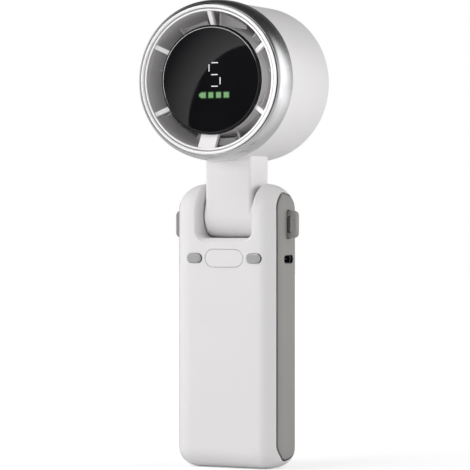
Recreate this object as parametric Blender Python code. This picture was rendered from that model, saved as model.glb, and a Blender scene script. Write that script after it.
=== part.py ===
"""A folding pocket fan that is held in the hand or stands on a desk, in metres, with +Z up.

The front of the fan faces -Y and +X is to its right. The origin is the middle of the handle's flat foot.
The head is modelled upright, as it is carried. It folds forward about an axis along X, at the ears.
"""

import math

import bmesh
import bpy

MM = 0.001

# Clearances
FIT = 0.3 * MM
SHUT_LINE = 0.45 * MM
OVERRUN = 1.0 * MM
MERGE = 0.3 * MM

# Overall sizes
HANDLE_WIDTH = 46.0 * MM
HANDLE_DEPTH = 25.5 * MM
HINGE_HEIGHT = 102.6 * MM
DRUM_RADIUS = 31.9 * MM
NECK_LENGTH = 22.2 * MM
HEAD_RISE = DRUM_RADIUS + NECK_LENGTH
DUCT_WALLS = 4.3 * MM
DUCT_RADIUS = DRUM_RADIUS - DUCT_WALLS
AIR_WAY = 5.6 * MM
HUB_RADIUS = DUCT_RADIUS - AIR_WAY

# Handle casing
HANDLE_WALL = 2.2 * MM
PLAN_CORNER = 8.0 * MM
EAR_CORNER = 10.0 * MM
FOOT_CORNER = 7.5 * MM
FOOT_ROUND = 8.0 * MM
EAR_TIP_TURN = math.radians(86.0)
SHUT_PLANE = 1.5 * MM
CORNER_STEPS = 5
FOOT_STEPS = 4
EAR_STEPS = 8

# Neck and barrel
NECK_WIDTH = 20.6 * MM
NECK_INSET = 4.0 * MM
NECK_DEPTH = HANDLE_DEPTH - 2 * NECK_INSET
NECK_EDGE = 1.5 * MM
BARREL_STEP = 0.4 * MM
BARREL_HALF_WIDTH = NECK_WIDTH / 2 + BARREL_STEP
BARREL_RADIUS = NECK_DEPTH / 2
BARREL_CHAMFER = 0.5 * MM
BARREL_CLEARANCE = 0.45 * MM
TROUGH_RADIUS = BARREL_RADIUS + BARREL_CLEARANCE
FLOOR_HEIGHT = HINGE_HEIGHT - TROUGH_RADIUS

# Gap between the ears
EAR_GAP = 0.5 * MM
EAR_INNER_WALL = 1.8 * MM
FLOOR_WALL = 1.8 * MM
GAP_HALF_WIDTH = BARREL_HALF_WIDTH + EAR_GAP
LIP_SPREAD = 2.4 * MM
LIP_DEPTH = 3.05 * MM
LIP_DROP = 2.2 * MM
LIP_CORNER = 3.0 * MM
LIP_TURN_SHARES = (0.3, 0.6, 0.85)
LIP_CORNER_STEPS = 4
REAR_LIP_BELOW_AXIS = 2.0 * MM

# Hinge hardware
PIN_RADIUS = 2.5 * MM
PIN_BORE = 1.4 * MM
SLEEVE_WALL = 1.4 * MM
SLEEVE_RADIUS = PIN_RADIUS + FIT + SLEEVE_WALL
SLEEVE_BOSS_WALL = 1.7 * MM
SLEEVE_BOSS_INSET = 4.4 * MM
SLEEVE_BOSS_END = HANDLE_WIDTH / 2 - SLEEVE_BOSS_INSET
PIN_HALF_LENGTH = SLEEVE_BOSS_END - 2 * FIT

# Side strips
STRIP_WIDTH = 17.0 * MM
STRIP_THICKNESS = 1.0 * MM
STRIP_FOOT_HEIGHT = 3.6 * MM
STRIP_TIP_BELOW_EAR = 4.1 * MM
STRIP_END_RISE = 6.5 * MM
STRIP_END_STEPS = 14

# Strap loops
LOOP_BELOW_AXIS = 3.7 * MM
LOOP_HEIGHT = HINGE_HEIGHT - LOOP_BELOW_AXIS
LOOP_REACH = 4.1 * MM
LOOP_LENGTH = 11.0 * MM
LOOP_THICKNESS = 3.0 * MM
LOOP_BAR = 2.2 * MM
LOOP_CORNER = 2.0 * MM
LOOP_SLOT_CORNER = 0.6 * MM
LOOP_FOOT_LENGTH = 14.0 * MM
LOOP_FOOT_DEPTH = 6.0 * MM
LOOP_FOOT_THICKNESS = 1.5 * MM
LOOP_CORNER_STEPS = 4

# Buttons, their switches and the board behind them
BUTTONS_BELOW_AXIS = 17.4 * MM
BUTTON_HEIGHT = HINGE_HEIGHT - BUTTONS_BELOW_AXIS
POWER_LENGTH = 16.4 * MM
POWER_HEIGHT = 6.8 * MM
SPEED_LENGTH = 6.3 * MM
SPEED_HEIGHT = 3.5 * MM
SPEED_OFFSET = 13.2 * MM
SPEED_PROUD = 0.7 * MM
BUTTON_FLANGE = 0.7 * MM
BUTTON_FLANGE_THICKNESS = 0.8 * MM
BUTTON_TRAVEL_ROOM = 0.75 * MM
BUTTON_ARC_STEPS = 6
SWITCH_BODY = 3.4 * MM
SWITCH_DEPTH = 1.6 * MM
SWITCH_PLUNGER_RADIUS = 0.9 * MM
SWITCH_PLUNGER_LENGTH = 0.7 * MM
BOARD_THICKNESS = 1.2 * MM
CONTROL_BOARD_WIDTH = 31.0 * MM
CONTROL_BOARD_HEIGHT = 12.4 * MM

# Charging socket and its board
SOCKET_BELOW_AXIS = 17.8 * MM
SOCKET_HEIGHT = HINGE_HEIGHT - SOCKET_BELOW_AXIS
SOCKET_WIDTH = 8.94 * MM
SOCKET_THICKNESS = 3.26 * MM
SOCKET_LENGTH = 7.3 * MM
SOCKET_WALL = 0.35 * MM
SOCKET_TONGUE_THICKNESS = 0.7 * MM
SOCKET_TONGUE_WIDTH = 6.6 * MM
SOCKET_SETBACK = 1.3 * MM
SOCKET_MOUTH_MARGIN = 0.35 * MM
CHARGE_BOARD_LEFT = 10.0 * MM
CHARGE_BOARD_REAR_ROOM = 3.35 * MM
CHARGE_BOARD_REAR = HANDLE_DEPTH / 2 - HANDLE_WALL - CHARGE_BOARD_REAR_ROOM
SHELF_THICKNESS = 1.5 * MM
SHELF_REACH = 5.0 * MM

# Battery
CELL_SPACING = 0.6 * MM
CELL_SIDE_ROOM = 2.2 * MM
CELL_REAR_ROOM = 0.5 * MM
CELL_FRONT_ROOM = 0.9 * MM
CELL_FOOT_HEIGHT = 9.5 * MM
CELL_HEAD_BELOW_AXIS = 28.1 * MM
CELL_RADIUS = min(
    (HANDLE_WIDTH / 2 - HANDLE_WALL - CELL_SIDE_ROOM - CELL_SPACING / 2) / 2,
    (HANDLE_DEPTH - 2 * HANDLE_WALL - CELL_REAR_ROOM - CELL_FRONT_ROOM) / 2,
)
CELL_SPREAD = CELL_RADIUS + CELL_SPACING / 2
CELL_SETBACK = HANDLE_DEPTH / 2 - HANDLE_WALL - CELL_REAR_ROOM - CELL_RADIUS
CELL_LENGTH = HINGE_HEIGHT - CELL_HEAD_BELOW_AXIS - CELL_FOOT_HEIGHT
CELL_BUTTON_RADIUS = 2.9 * MM
CELL_BUTTON_HEIGHT = 0.7 * MM
HOLDER_PLATE = 1.5 * MM
HOLDER_DEPTH = 15.0 * MM
HOLDER_MARGIN = 2.5 * MM
SPINE_WIDTH = 3.6 * MM
SPINE_ROOM = 0.95 * MM
SPINE_FRONT = HANDLE_DEPTH / 2 - HANDLE_WALL - SPINE_ROOM
HOLDER_HALF_WIDTH = CELL_SPREAD + HOLDER_MARGIN

# Casing screws
SCREW_RADIUS = 0.8 * MM
SCREW_HEAD_RADIUS = 1.8 * MM
SCREW_HEAD_HEIGHT = 1.3 * MM
SCREW_LENGTH = 14.0 * MM
SCREW_SINK = 0.5 * MM
SCREW_SLOT_WIDTH = 0.5 * MM
SCREW_SLOT_DEPTH = 0.6 * MM
SCREW_BOSS_RADIUS = 2.3 * MM
CASE_SCREW_ROOM = 0.75 * MM
CASE_SCREW_SPREAD = HOLDER_HALF_WIDTH + SCREW_BOSS_RADIUS + CASE_SCREW_ROOM
CASE_SCREW_BELOW_AXIS = 25.0 * MM
CASE_SCREW_HEIGHT = HINGE_HEIGHT - CASE_SCREW_BELOW_AXIS

# Tongues that hold the casing together at its foot
TONGUE_SPREAD = 9.0 * MM
TONGUE_WIDTH = 5.0 * MM
TONGUE_THICKNESS = 1.4 * MM
TONGUE_REACH = 4.0 * MM
TONGUE_ROOT = 5.0 * MM

# Drum, with distances along the fan's axis from the middle of the neck, the front being negative
DRUM_FRONT = -17.0 * MM
SPIGOT_FRONT = -25.0 * MM
DRUM_REAR = 24.0 * MM
DRUM_EDGE = 4.0 * MM
LINER_ROOM = 1.6 * MM
DRUM_BORE = DUCT_RADIUS + LINER_ROOM
SPIGOT_WALL = 1.1 * MM
REAR_LIP_THICKNESS = 2.0 * MM
REAR_LIP_WIDTH = 1.7 * MM
DRUM_SEGMENTS = 40
DRUM_EDGE_STEPS = 4

# Neck hollow and its cover
POCKET_FLOOR = 8.0 * MM
POCKET_ROOF = 20.6 * MM
POCKET_SIDE_WALL = 2.3 * MM
POCKET_HALF_WIDTH = NECK_WIDTH / 2 - POCKET_SIDE_WALL
POCKET_FRONT_WALL = 2.0 * MM
COVER_THICKNESS = 1.6 * MM
WIRE_WAY_RADIUS = 2.2 * MM
COVER_SCREW_EDGE = 2.8 * MM
COVER_SCREW_SPREAD = POCKET_HALF_WIDTH - COVER_SCREW_EDGE
COVER_SCREW_LENGTH = 7.0 * MM

# Bezel
BEZEL_PROUD = 0.5 * MM
BEZEL_RADIUS = DRUM_RADIUS + BEZEL_PROUD
BEZEL_FRONT = -28.2 * MM
BEZEL_WIDEST = -17.5 * MM
RIM_STEP = 1.0 * MM
RIM_WIDTH = 1.3 * MM
RIM_INNER_RADIUS = DUCT_RADIUS + RIM_STEP
RIM_OUTER_RADIUS = RIM_INNER_RADIUS + RIM_WIDTH
RIM_CHAMFER = 0.3 * MM
RIM_THICKNESS = 1.9 * MM
BEZEL_CURVE_STEPS = 6

# Front grille
GRILLE_RING_WIDTH = 0.9 * MM
GRILLE_FRONT = -27.6 * MM
GRILLE_HUB_FRONT = -24.0 * MM
GRILLE_HUB_REAR = -19.5 * MM
HUB_WALL = 1.4 * MM
SPOKE_WIDTH = 1.9 * MM
BOTTOM_SPOKE_WIDTH = 7.6 * MM
BOTTOM_SPOKE_SHIFT = -1.3 * MM
SPOKE_DEPTH = 2.3 * MM
SPOKE_COUNT = 6

# Display
LENS_FRONT = -25.5 * MM
LENS_BEVEL_WIDTH = 0.9 * MM
LENS_BEVEL_DEPTH = 1.2 * MM
LENS_PLUG_DEPTH = 1.7 * MM
LENS_EDGE_STEPS = 3
DISPLAY_MODULE_WIDTH = 12.0 * MM
DISPLAY_MODULE_HEIGHT = 16.0 * MM
DISPLAY_MODULE_DEPTH = 2.4 * MM

# Duct liner, guide vanes and motor seat
LINER_WALL = 1.3 * MM
LINER_REAR = 19.0 * MM
STATOR_HUB_REAR = -2.0 * MM
MOTOR_FLOOR = 2.0 * MM
BEARING_TUBE_WALL = 1.1 * MM
BEARING_TUBE_REAR = 9.0 * MM
VANE_COUNT = 9
VANE_FRONT = -16.5 * MM
VANE_REAR = -4.5 * MM
VANE_THICKNESS = 0.8 * MM
VANE_SWEEP = math.radians(16.0)
VANE_STEPS = 3

# Motor
SHAFT_RADIUS = 1.0 * MM
SHAFT_FRONT = -3.8 * MM
SHAFT_REAR = 14.6 * MM
BEARING_RADIUS = 2.5 * MM
BEARING_WIDTH = 2.0 * MM
FRONT_BEARING = -3.6 * MM
REAR_BEARING = 6.4 * MM
CORE_FRONT = 1.3 * MM
CORE_REAR = 8.0 * MM
CORE_RING_WIDTH = 2.4 * MM
CORE_RADIUS = 10.3 * MM
TOOTH_COUNT = 9
TOOTH_WIDTH = 1.8 * MM
TOOTH_SHOE_DEPTH = 1.2 * MM
TOOTH_SHOE_WIDTH = 5.2 * MM
MAGNET_GAP = 0.4 * MM
MAGNET_THICKNESS = 1.1 * MM
BELL_FRONT = 0.4 * MM
BELL_REAR = 10.6 * MM
BELL_WALL = 0.8 * MM
DRIVER_BOARD_EDGE = 4.0 * MM
DRIVER_BOARD_RADIUS = HUB_RADIUS - DRIVER_BOARD_EDGE
DRIVER_BOARD_BORE = 4.5 * MM

# Impeller
BLADE_COUNT = 9
BLADE_FRONT = 0.6 * MM
BLADE_REAR = 12.0 * MM
BLADE_THICKNESS = 0.9 * MM
BLADE_SWEEP = math.radians(54.0)
BLADE_STEPS = 5
BLADE_TIP_GAP = 0.45 * MM
IMPELLER_FRONT = -1.6 * MM
IMPELLER_REAR = 15.4 * MM
IMPELLER_SKIN = 1.3 * MM
IMPELLER_DOME_STEPS = 4

# Rear grille
REAR_GRILLE_THICKNESS = 2.4 * MM
REAR_GRILLE_RING = 2.0 * MM
REAR_GRILLE_MID_RADIUS = 17.5 * MM
REAR_GRILLE_MID_RING = 1.4 * MM
REAR_GRILLE_CAP_RADIUS = 8.0 * MM
REAR_GRILLE_CAP_DOME = 0.9 * MM
CAP_SHOULDER_RADIUS_SHARE = 0.75
CAP_SHOULDER_HEIGHT_SHARE = 0.67
REAR_BAR_COUNT = 16
REAR_BAR_WIDTH = 1.3 * MM

# Facets of round pieces and holes
ROUND_SEGMENTS = 24
WIDE_SEGMENTS = 28
BARREL_SEGMENTS = 32
SMALL_SEGMENTS = 16
HOLE_SEGMENTS = 12
SMALL_CORNER_STEPS = 3

SMOOTH_ANGLE = math.radians(35.0)
FULL_TURN = 2 * math.pi
HALF_TURN = math.pi
QUARTER_TURN = math.pi / 2


# Scene and materials

def clear_scene():
    for old in list(bpy.data.objects):
        bpy.data.objects.remove(old, do_unlink=True)


def material(name, colour, roughness, metallic=0.0):
    made = bpy.data.materials.new(name)
    made.use_nodes = True
    shader = made.node_tree.nodes["Principled BSDF"]
    shader.inputs["Base Color"].default_value = (*colour, 1.0)
    shader.inputs["Roughness"].default_value = roughness
    shader.inputs["Metallic"].default_value = metallic
    return made


def empty(name, place, parent=None):
    made = bpy.data.objects.new(name, None)
    bpy.context.scene.collection.objects.link(made)
    made.location = place
    made.parent = parent
    return made


def add_object(name, shape, finish, place=(0, 0, 0), parent=None):
    """Turns a bmesh into a closed, outward-facing object and frees the bmesh."""
    bmesh.ops.recalc_face_normals(shape, faces=shape.faces)
    mesh = bpy.data.meshes.new(name)
    shape.to_mesh(mesh)
    shape.free()
    mesh.shade_smooth()
    mesh.set_sharp_from_angle(angle=SMOOTH_ANGLE)
    made = bpy.data.objects.new(name, mesh)
    bpy.context.scene.collection.objects.link(made)
    made.location = place
    made.parent = parent
    if finish is not None:
        mesh.materials.append(finish)
    return made


def tool(name, shape, place=(0, 0, 0), parent=None):
    """A shape that only cuts or joins others, so it isn't rendered."""
    made = add_object(name, shape, None, place, parent)
    made.hide_render = True
    made.display_type = "WIRE"
    return made


def change(target, operation, *others, solver="EXACT"):
    for other in others:
        modifier = target.modifiers.new(other.name, "BOOLEAN")
        modifier.operation = operation
        modifier.solver = solver
        modifier.object = other


def cut(target, *others, solver="EXACT"):
    change(target, "DIFFERENCE", *others, solver=solver)


def join(target, *others, solver="EXACT"):
    change(target, "UNION", *others, solver=solver)


# Outlines and solids

def arc(centre, radii, start, end, steps):
    """Points along a round or oval arc, both ends included."""
    turns = [start + (end - start) * step / steps for step in range(steps + 1)]
    return [(centre[0] + radii[0] * math.cos(t), centre[1] + radii[1] * math.sin(t)) for t in turns]


def rounded_rectangle(half_width, half_height, corner, steps):
    points = []
    for index, (side_u, side_v) in enumerate(((1, 1), (-1, 1), (-1, -1), (1, -1))):
        centre = (side_u * (half_width - corner), side_v * (half_height - corner))
        start = index * QUARTER_TURN
        points += arc(centre, (corner, corner), start, start + QUARTER_TURN, steps)
    return points


def stadium(length, height, steps):
    """A slot outline with full-round ends, lying along its first coordinate."""
    radius = height / 2
    reach = length / 2 - radius
    right = arc((reach, 0), (radius, radius), -QUARTER_TURN, QUARTER_TURN, steps)
    left = arc((-reach, 0), (radius, radius), QUARTER_TURN, 3 * QUARTER_TURN, steps)
    return right + left


def circle(radius, segments):
    return arc((0, 0), (radius, radius), 0, FULL_TURN, segments)[:-1]


def shifted(points, across, along):
    return [(u + across, v + along) for u, v in points]


def box_outline(left, right, low, high):
    return [(left, low), (right, low), (right, high), (left, high)]


def lofted(rings):
    """A solid through rings of equal length, closed by a face at each end."""
    shape = bmesh.new()
    rows = [[shape.verts.new(point) for point in ring] for ring in rings]
    for lower, upper in zip(rows, rows[1:]):
        for index in range(len(lower)):
            following = (index + 1) % len(lower)
            shape.faces.new((lower[index], lower[following], upper[following], upper[index]))
    shape.faces.new(rows[0])
    shape.faces.new(rows[-1])
    return shape


def placed(axis, point, depth):
    """A point of an outline, set at a depth along the named axis."""
    if axis == "X":
        return (depth, point[0], point[1])
    if axis == "Y":
        return (point[0], depth, point[1])
    return (point[0], point[1], depth)


def prism(axis, outline, start, end):
    return lofted([[placed(axis, point, depth) for point in outline] for depth in (start, end)])


def turned(axis, outline, segments):
    """A closed (radius, along) outline turned all the way round the named axis."""
    shape = bmesh.new()
    columns = []
    for radius, along in outline:
        if radius == 0:
            columns.append([shape.verts.new(placed(axis, (0, 0), along))])
            continue
        ring = [shape.verts.new(placed(axis, point, along)) for point in circle(radius, segments)]
        columns.append(ring)
    for first, second in zip(columns, columns[1:] + columns[:1]):
        if len(first) == 1 and len(second) == 1:
            continue
        for index in range(segments):
            following = (index + 1) % segments
            near = [first[0]] if len(first) == 1 else [first[index], first[following]]
            far = [second[0]] if len(second) == 1 else [second[following], second[index]]
            shape.faces.new(near + far)
    return shape


def tube(axis, inner, outer, start, end, segments):
    return turned(axis, [(inner, start), (outer, start), (outer, end), (inner, end)], segments)


def rod(axis, radius, start, end, segments):
    return turned(axis, [(0, start), (radius, start), (radius, end), (0, end)], segments)


def swept_blade(inner, outer, front, rear, sweep, thickness, steps, turn):
    """A thin curved blade across the duct: its chord runs along Y and bends round the axis."""
    rings = []
    for radius in (inner, outer):
        edge = []
        for step in range(steps + 1):
            share = step / steps
            bend = turn + sweep * share * share
            edge.append((bend, front + (rear - front) * share))
        half_angle = thickness / (2 * radius)
        ahead = [(bend + half_angle, along) for bend, along in edge]
        behind = [(bend - half_angle, along) for bend, along in reversed(edge)]
        ring = [(radius * math.cos(t), along, radius * math.sin(t)) for t, along in ahead + behind]
        rings.append(ring)
    return lofted(rings)


# Handle

def handle_section(height, inset):
    """Half-width and half-depth of the handle at a height, for a skin set in by the inset."""
    half_width = HANDLE_WIDTH / 2 - inset
    half_depth = HANDLE_DEPTH / 2 - inset
    foot_round = FOOT_ROUND - inset
    foot_corner = FOOT_CORNER - inset
    ear_corner = EAR_CORNER - inset
    ear_centre = HINGE_HEIGHT + HANDLE_DEPTH / 2 - EAR_CORNER
    wide = half_width
    below = inset + foot_corner - height
    above = height - ear_centre
    if below > 0:
        wide -= foot_corner - math.sqrt(max(foot_corner ** 2 - below ** 2, 0))
    if above > 0:
        wide -= ear_corner - math.sqrt(max(ear_corner ** 2 - above ** 2, 0))
    deep = half_depth
    if height < inset + foot_round:
        deep -= foot_round - math.sqrt(max(foot_round ** 2 - (inset + foot_round - height) ** 2, 0))
    if height > HINGE_HEIGHT:
        deep = math.sqrt(max(half_depth ** 2 - (height - HINGE_HEIGHT) ** 2, 0))
    return wide, deep


def handle_form(inset):
    """The whole outer form of the handle, ears included, set in by the inset."""
    half_depth = HANDLE_DEPTH / 2 - inset
    foot_round = FOOT_ROUND - inset
    heights = []
    for step in range(FOOT_STEPS + 1):
        heights.append(inset + foot_round * (1 - math.cos(QUARTER_TURN * step / FOOT_STEPS)))
    for step in range(EAR_STEPS + 1):
        heights.append(HINGE_HEIGHT + half_depth * math.sin(EAR_TIP_TURN * step / EAR_STEPS))
    rings = []
    for height in heights:
        wide, deep = handle_section(height, inset)
        corner = (PLAN_CORNER - inset) * deep / half_depth
        outline = rounded_rectangle(wide, deep, corner, CORNER_STEPS)
        rings.append([placed("Z", point, height) for point in outline])
    return lofted(rings)


def lip_stations(side):
    """Where the soft edge of the gap between the ears runs: (y, half-width growth, drop, corner)."""
    flat = HANDLE_DEPTH / 2 - LIP_DEPTH
    stations = [(0, 0, 0, FIT), (flat, 0, 0, FIT)]
    for share in LIP_TURN_SHARES:
        turn = share * QUARTER_TURN
        growth = 1 - math.cos(turn)
        y = flat + LIP_DEPTH * math.sin(turn)
        stations.append((y, LIP_SPREAD * growth, LIP_DROP * growth, FIT + LIP_CORNER * growth))
    stations.append((HANDLE_DEPTH / 2 + OVERRUN, LIP_SPREAD, LIP_DROP, FIT + LIP_CORNER))
    return [(side * y, spread, drop, corner) for y, spread, drop, corner in stations]


def gap_cutter(name, side, floor):
    """Cuts the open front or rear of the gap that the neck stands and folds in."""
    rings = []
    roof = HINGE_HEIGHT + OVERRUN
    for y, spread, drop, corner in lip_stations(side):
        wide = GAP_HALF_WIDTH + spread
        low = floor - drop
        outline = [(-wide, roof)]
        outline += arc((-wide + corner, low + corner), (corner, corner), HALF_TURN, 3 * QUARTER_TURN,
                       LIP_CORNER_STEPS)
        outline += arc((wide - corner, low + corner), (corner, corner), -QUARTER_TURN, 0, LIP_CORNER_STEPS)
        outline.append((wide, roof))
        rings.append([placed("Y", point, y) for point in outline])
    return tool(name, lofted(rings))


def ear_gap_cutter():
    """Cuts between the ears above the axis, and softens their inner edges all the way over."""
    inner = BARREL_RADIUS / 2
    right = [(GAP_HALF_WIDTH, inner)]
    for y, spread, _, _ in lip_stations(1)[1:]:
        right.append((GAP_HALF_WIDTH + spread, y))
    profile = right + [(-across, out) for across, out in reversed(right)]
    rings = []
    for step in range(2 * EAR_STEPS + 1):
        turn = HALF_TURN * step / (2 * EAR_STEPS)
        ring = [(x, out * math.cos(turn), HINGE_HEIGHT + out * math.sin(turn)) for x, out in profile]
        rings.append(ring)
    return tool("ear_gap_tool", lofted(rings))


def strip_outline(margin):
    """Outline of a side strip in (y, z), grown or shrunk by the margin."""
    low = STRIP_FOOT_HEIGHT + STRIP_END_RISE
    high = HINGE_HEIGHT + HANDLE_DEPTH / 2 - STRIP_TIP_BELOW_EAR - STRIP_END_RISE
    radii = (STRIP_WIDTH / 2 + margin, STRIP_END_RISE + margin)
    top = arc((0, high), radii, 0, HALF_TURN, STRIP_END_STEPS)
    return top + arc((0, low), radii, HALF_TURN, FULL_TURN, STRIP_END_STEPS)


def strip_prism(side, margin):
    inner = HANDLE_WIDTH / 2 - PLAN_CORNER - OVERRUN
    return prism("X", strip_outline(margin), side * inner, side * (HANDLE_WIDTH / 2 + OVERRUN))


def loop_way(side):
    """The slot in the strip and the casing that a strap loop stands in."""
    outline = box_outline(
        -LOOP_THICKNESS / 2 - FIT,
        LOOP_THICKNESS / 2 + FIT,
        LOOP_HEIGHT - LOOP_LENGTH / 2 - FIT,
        LOOP_HEIGHT + LOOP_LENGTH / 2 + FIT,
    )
    inner = HANDLE_WIDTH / 2 - HANDLE_WALL - OVERRUN
    return prism("X", outline, side * inner, side * (HANDLE_WIDTH / 2 + OVERRUN))


def socket_way(margin):
    """The round-ended hole for a charging plug, in (y, z)."""
    outline = stadium(SOCKET_WIDTH + 2 * margin, SOCKET_THICKNESS + 2 * margin, BUTTON_ARC_STEPS)
    outline = shifted(outline, 0, SOCKET_HEIGHT)
    inner = HANDLE_WIDTH / 2 - HANDLE_WALL - OVERRUN
    return prism("X", outline, inner, HANDLE_WIDTH / 2 + OVERRUN)


def button_outline(length, height, offset):
    return shifted(stadium(length, height, BUTTON_ARC_STEPS), offset, BUTTON_HEIGHT)


def screw_places():
    return [(side * CASE_SCREW_SPREAD, CASE_SCREW_HEIGHT) for side in (-1, 1)]


def handle_tools():
    """Tools that both halves of the handle casing share."""
    block_half_width = GAP_HALF_WIDTH + EAR_INNER_WALL
    top = HINGE_HEIGHT + HANDLE_DEPTH
    block_outline = box_outline(-block_half_width, block_half_width, -HANDLE_DEPTH, HANDLE_DEPTH)
    block = tool("hinge_block_tool", prism("Z", block_outline, FLOOR_HEIGHT - FLOOR_WALL, top))
    room = tool("handle_room_tool", handle_form(HANDLE_WALL))
    cut(room, block)
    pocket_floor = tool("strip_pocket_floor_tool", handle_form(STRIP_THICKNESS + FIT))
    shared = {"room": room, "ear_gap": ear_gap_cutter()}
    trough = rod("X", TROUGH_RADIUS, -GAP_HALF_WIDTH, GAP_HALF_WIDTH, BARREL_SEGMENTS)
    shared["trough"] = tool("trough_tool", trough, (0, 0, HINGE_HEIGHT))
    for side, word in ((-1, "left"), (1, "right")):
        pocket = tool(f"strip_pocket_{word}_tool", strip_prism(side, SHUT_LINE))
        cut(pocket, pocket_floor)
        shared[f"pocket_{word}"] = pocket
        shared[f"loop_way_{word}"] = tool(f"loop_way_{word}_tool", loop_way(side))
        start = GAP_HALF_WIDTH + EAR_INNER_WALL - MERGE
        boss = rod("X", SLEEVE_RADIUS + FIT + SLEEVE_BOSS_WALL, side * start, side * SLEEVE_BOSS_END,
                   ROUND_SEGMENTS)
        shared[f"sleeve_boss_{word}"] = tool(f"sleeve_boss_{word}_tool", boss, (0, 0, HINGE_HEIGHT))
    bore = rod("X", SLEEVE_RADIUS + FIT, -SLEEVE_BOSS_END - FIT, SLEEVE_BOSS_END + FIT, ROUND_SEGMENTS)
    shared["sleeve_bore"] = tool("sleeve_bore_tool", bore, (0, 0, HINGE_HEIGHT))
    shared["socket_way"] = tool("socket_way_tool", socket_way(SOCKET_MOUTH_MARGIN + FIT))
    return shared


def split_tool(name, side):
    """Cuts off the half of the casing that lies beyond the shut line."""
    edge = HANDLE_WIDTH / 2 + OVERRUN
    outline = box_outline(-edge, edge, -OVERRUN, HINGE_HEIGHT + HANDLE_DEPTH)
    return tool(f"{name}_split_tool", prism("Y", outline, SHUT_PLANE + side * FIT / 2, -side * HANDLE_DEPTH))


def handle_half(name, side, finish, shared):
    """One half of the handle casing: the front for side -1 and the rear for side 1."""
    shell = add_object(name, handle_form(0), finish)
    cut(shell, shared["room"])
    wall_face = HANDLE_DEPTH / 2 - HANDLE_WALL / 2
    for index, (x, z) in enumerate(screw_places()):
        boss = rod("Y", SCREW_BOSS_RADIUS, SHUT_PLANE, side * wall_face, SMALL_SEGMENTS)
        join(shell, tool(f"{name}_boss_{index}_tool", boss, (x, 0, z)))
    join(shell, shared["sleeve_boss_left"], shared["sleeve_boss_right"])
    cut(shell, shared["ear_gap"], shared["trough"], shared["sleeve_bore"])
    cut(shell, shared["pocket_left"], shared["pocket_right"], solver="MANIFOLD")
    cut(shell, shared["loop_way_left"], shared["loop_way_right"], shared["socket_way"], solver="MANIFOLD")
    cut(shell, split_tool(name, side), solver="MANIFOLD")
    return shell


def front_shell(finish, shared):
    shell = handle_half("handle_front_shell", -1, finish, shared)
    cut(shell, gap_cutter("front_gap_tool", -1, FLOOR_HEIGHT), solver="MANIFOLD")
    front = -HANDLE_DEPTH / 2
    for word, length, height, offset in (
        ("power", POWER_LENGTH, POWER_HEIGHT, 0),
        ("speed_down", SPEED_LENGTH, SPEED_HEIGHT, -SPEED_OFFSET),
        ("speed_up", SPEED_LENGTH, SPEED_HEIGHT, SPEED_OFFSET),
    ):
        outline = button_outline(length + 2 * FIT, height + 2 * FIT, offset)
        way = prism("Y", outline, front - OVERRUN, front + HANDLE_WALL + OVERRUN)
        cut(shell, tool(f"{word}_way_tool", way), solver="MANIFOLD")
        margin = 2 * (BUTTON_FLANGE + FIT)
        outline = button_outline(length + margin, height + margin, offset)
        relief = prism("Y", outline, front + HANDLE_WALL, front + 2 * HANDLE_WALL)
        cut(shell, tool(f"{word}_relief_tool", relief), solver="MANIFOLD")
    for index, (x, z) in enumerate(screw_places()):
        hole = rod("Y", SCREW_RADIUS + FIT, front + HANDLE_WALL, SHUT_PLANE + OVERRUN, HOLE_SEGMENTS)
        cut(shell, tool(f"front_screw_hole_{index}_tool", hole, (x, 0, z)), solver="MANIFOLD")


def rear_shell(finish, shared):
    shell = handle_half("handle_rear_shell", 1, finish, shared)
    shelf_top = SOCKET_HEIGHT - SOCKET_THICKNESS / 2 - FIT - BOARD_THICKNESS - FIT
    shelf_foot = shelf_top - SHELF_THICKNESS
    shelf_outline = box_outline(-CHARGE_BOARD_LEFT, CHARGE_BOARD_LEFT, shelf_foot, shelf_top)
    wall_face = HANDLE_DEPTH / 2 - HANDLE_WALL
    shelf = prism("Y", shelf_outline, wall_face - SHELF_REACH, wall_face + MERGE)
    join(shell, tool("board_shelf_tool", shelf), solver="MANIFOLD")
    for side, word in ((-1, "left"), (1, "right")):
        left = side * TONGUE_SPREAD - TONGUE_WIDTH / 2
        right = side * TONGUE_SPREAD + TONGUE_WIDTH / 2
        low = HANDLE_WALL + FIT
        rear_edge = SHUT_PLANE + TONGUE_ROOT
        tongue_outline = box_outline(left, right, SHUT_PLANE - TONGUE_REACH, rear_edge)
        tongue = prism("Z", tongue_outline, low, low + TONGUE_THICKNESS)
        root_outline = box_outline(left, right, SHUT_PLANE + FIT, rear_edge)
        root = prism("Z", root_outline, HANDLE_WALL - MERGE, low + MERGE)
        join(shell, tool(f"tongue_{word}_tool", tongue), solver="MANIFOLD")
        join(shell, tool(f"tongue_root_{word}_tool", root), solver="MANIFOLD")
    cut(shell, gap_cutter("rear_gap_tool", 1, HINGE_HEIGHT - REAR_LIP_BELOW_AXIS), solver="MANIFOLD")
    rear = HANDLE_DEPTH / 2
    sink = SCREW_SINK + SCREW_HEAD_HEIGHT + FIT
    for index, (x, z) in enumerate(screw_places()):
        hole = rod("Y", SCREW_RADIUS + FIT, -OVERRUN, rear, HOLE_SEGMENTS)
        cut(shell, tool(f"rear_screw_hole_{index}_tool", hole, (x, 0, z)), solver="MANIFOLD")
        head = rod("Y", SCREW_HEAD_RADIUS + FIT, rear - sink, rear + OVERRUN, SMALL_SEGMENTS)
        cut(shell, tool(f"rear_screw_head_{index}_tool", head, (x, 0, z)), solver="MANIFOLD")


def side_strips(finish, shared):
    outer = tool("strip_outer_tool", handle_form(0))
    inner = tool("strip_inner_tool", handle_form(STRIP_THICKNESS))
    mouth = tool("strip_socket_tool", socket_way(SOCKET_MOUTH_MARGIN))
    for side, word in ((-1, "left"), (1, "right")):
        strip = add_object(f"side_strip_{word}", strip_prism(side, 0), finish)
        change(strip, "INTERSECT", outer)
        cut(strip, inner, shared[f"loop_way_{word}"])
        if side == 1:
            cut(strip, mouth)


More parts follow.
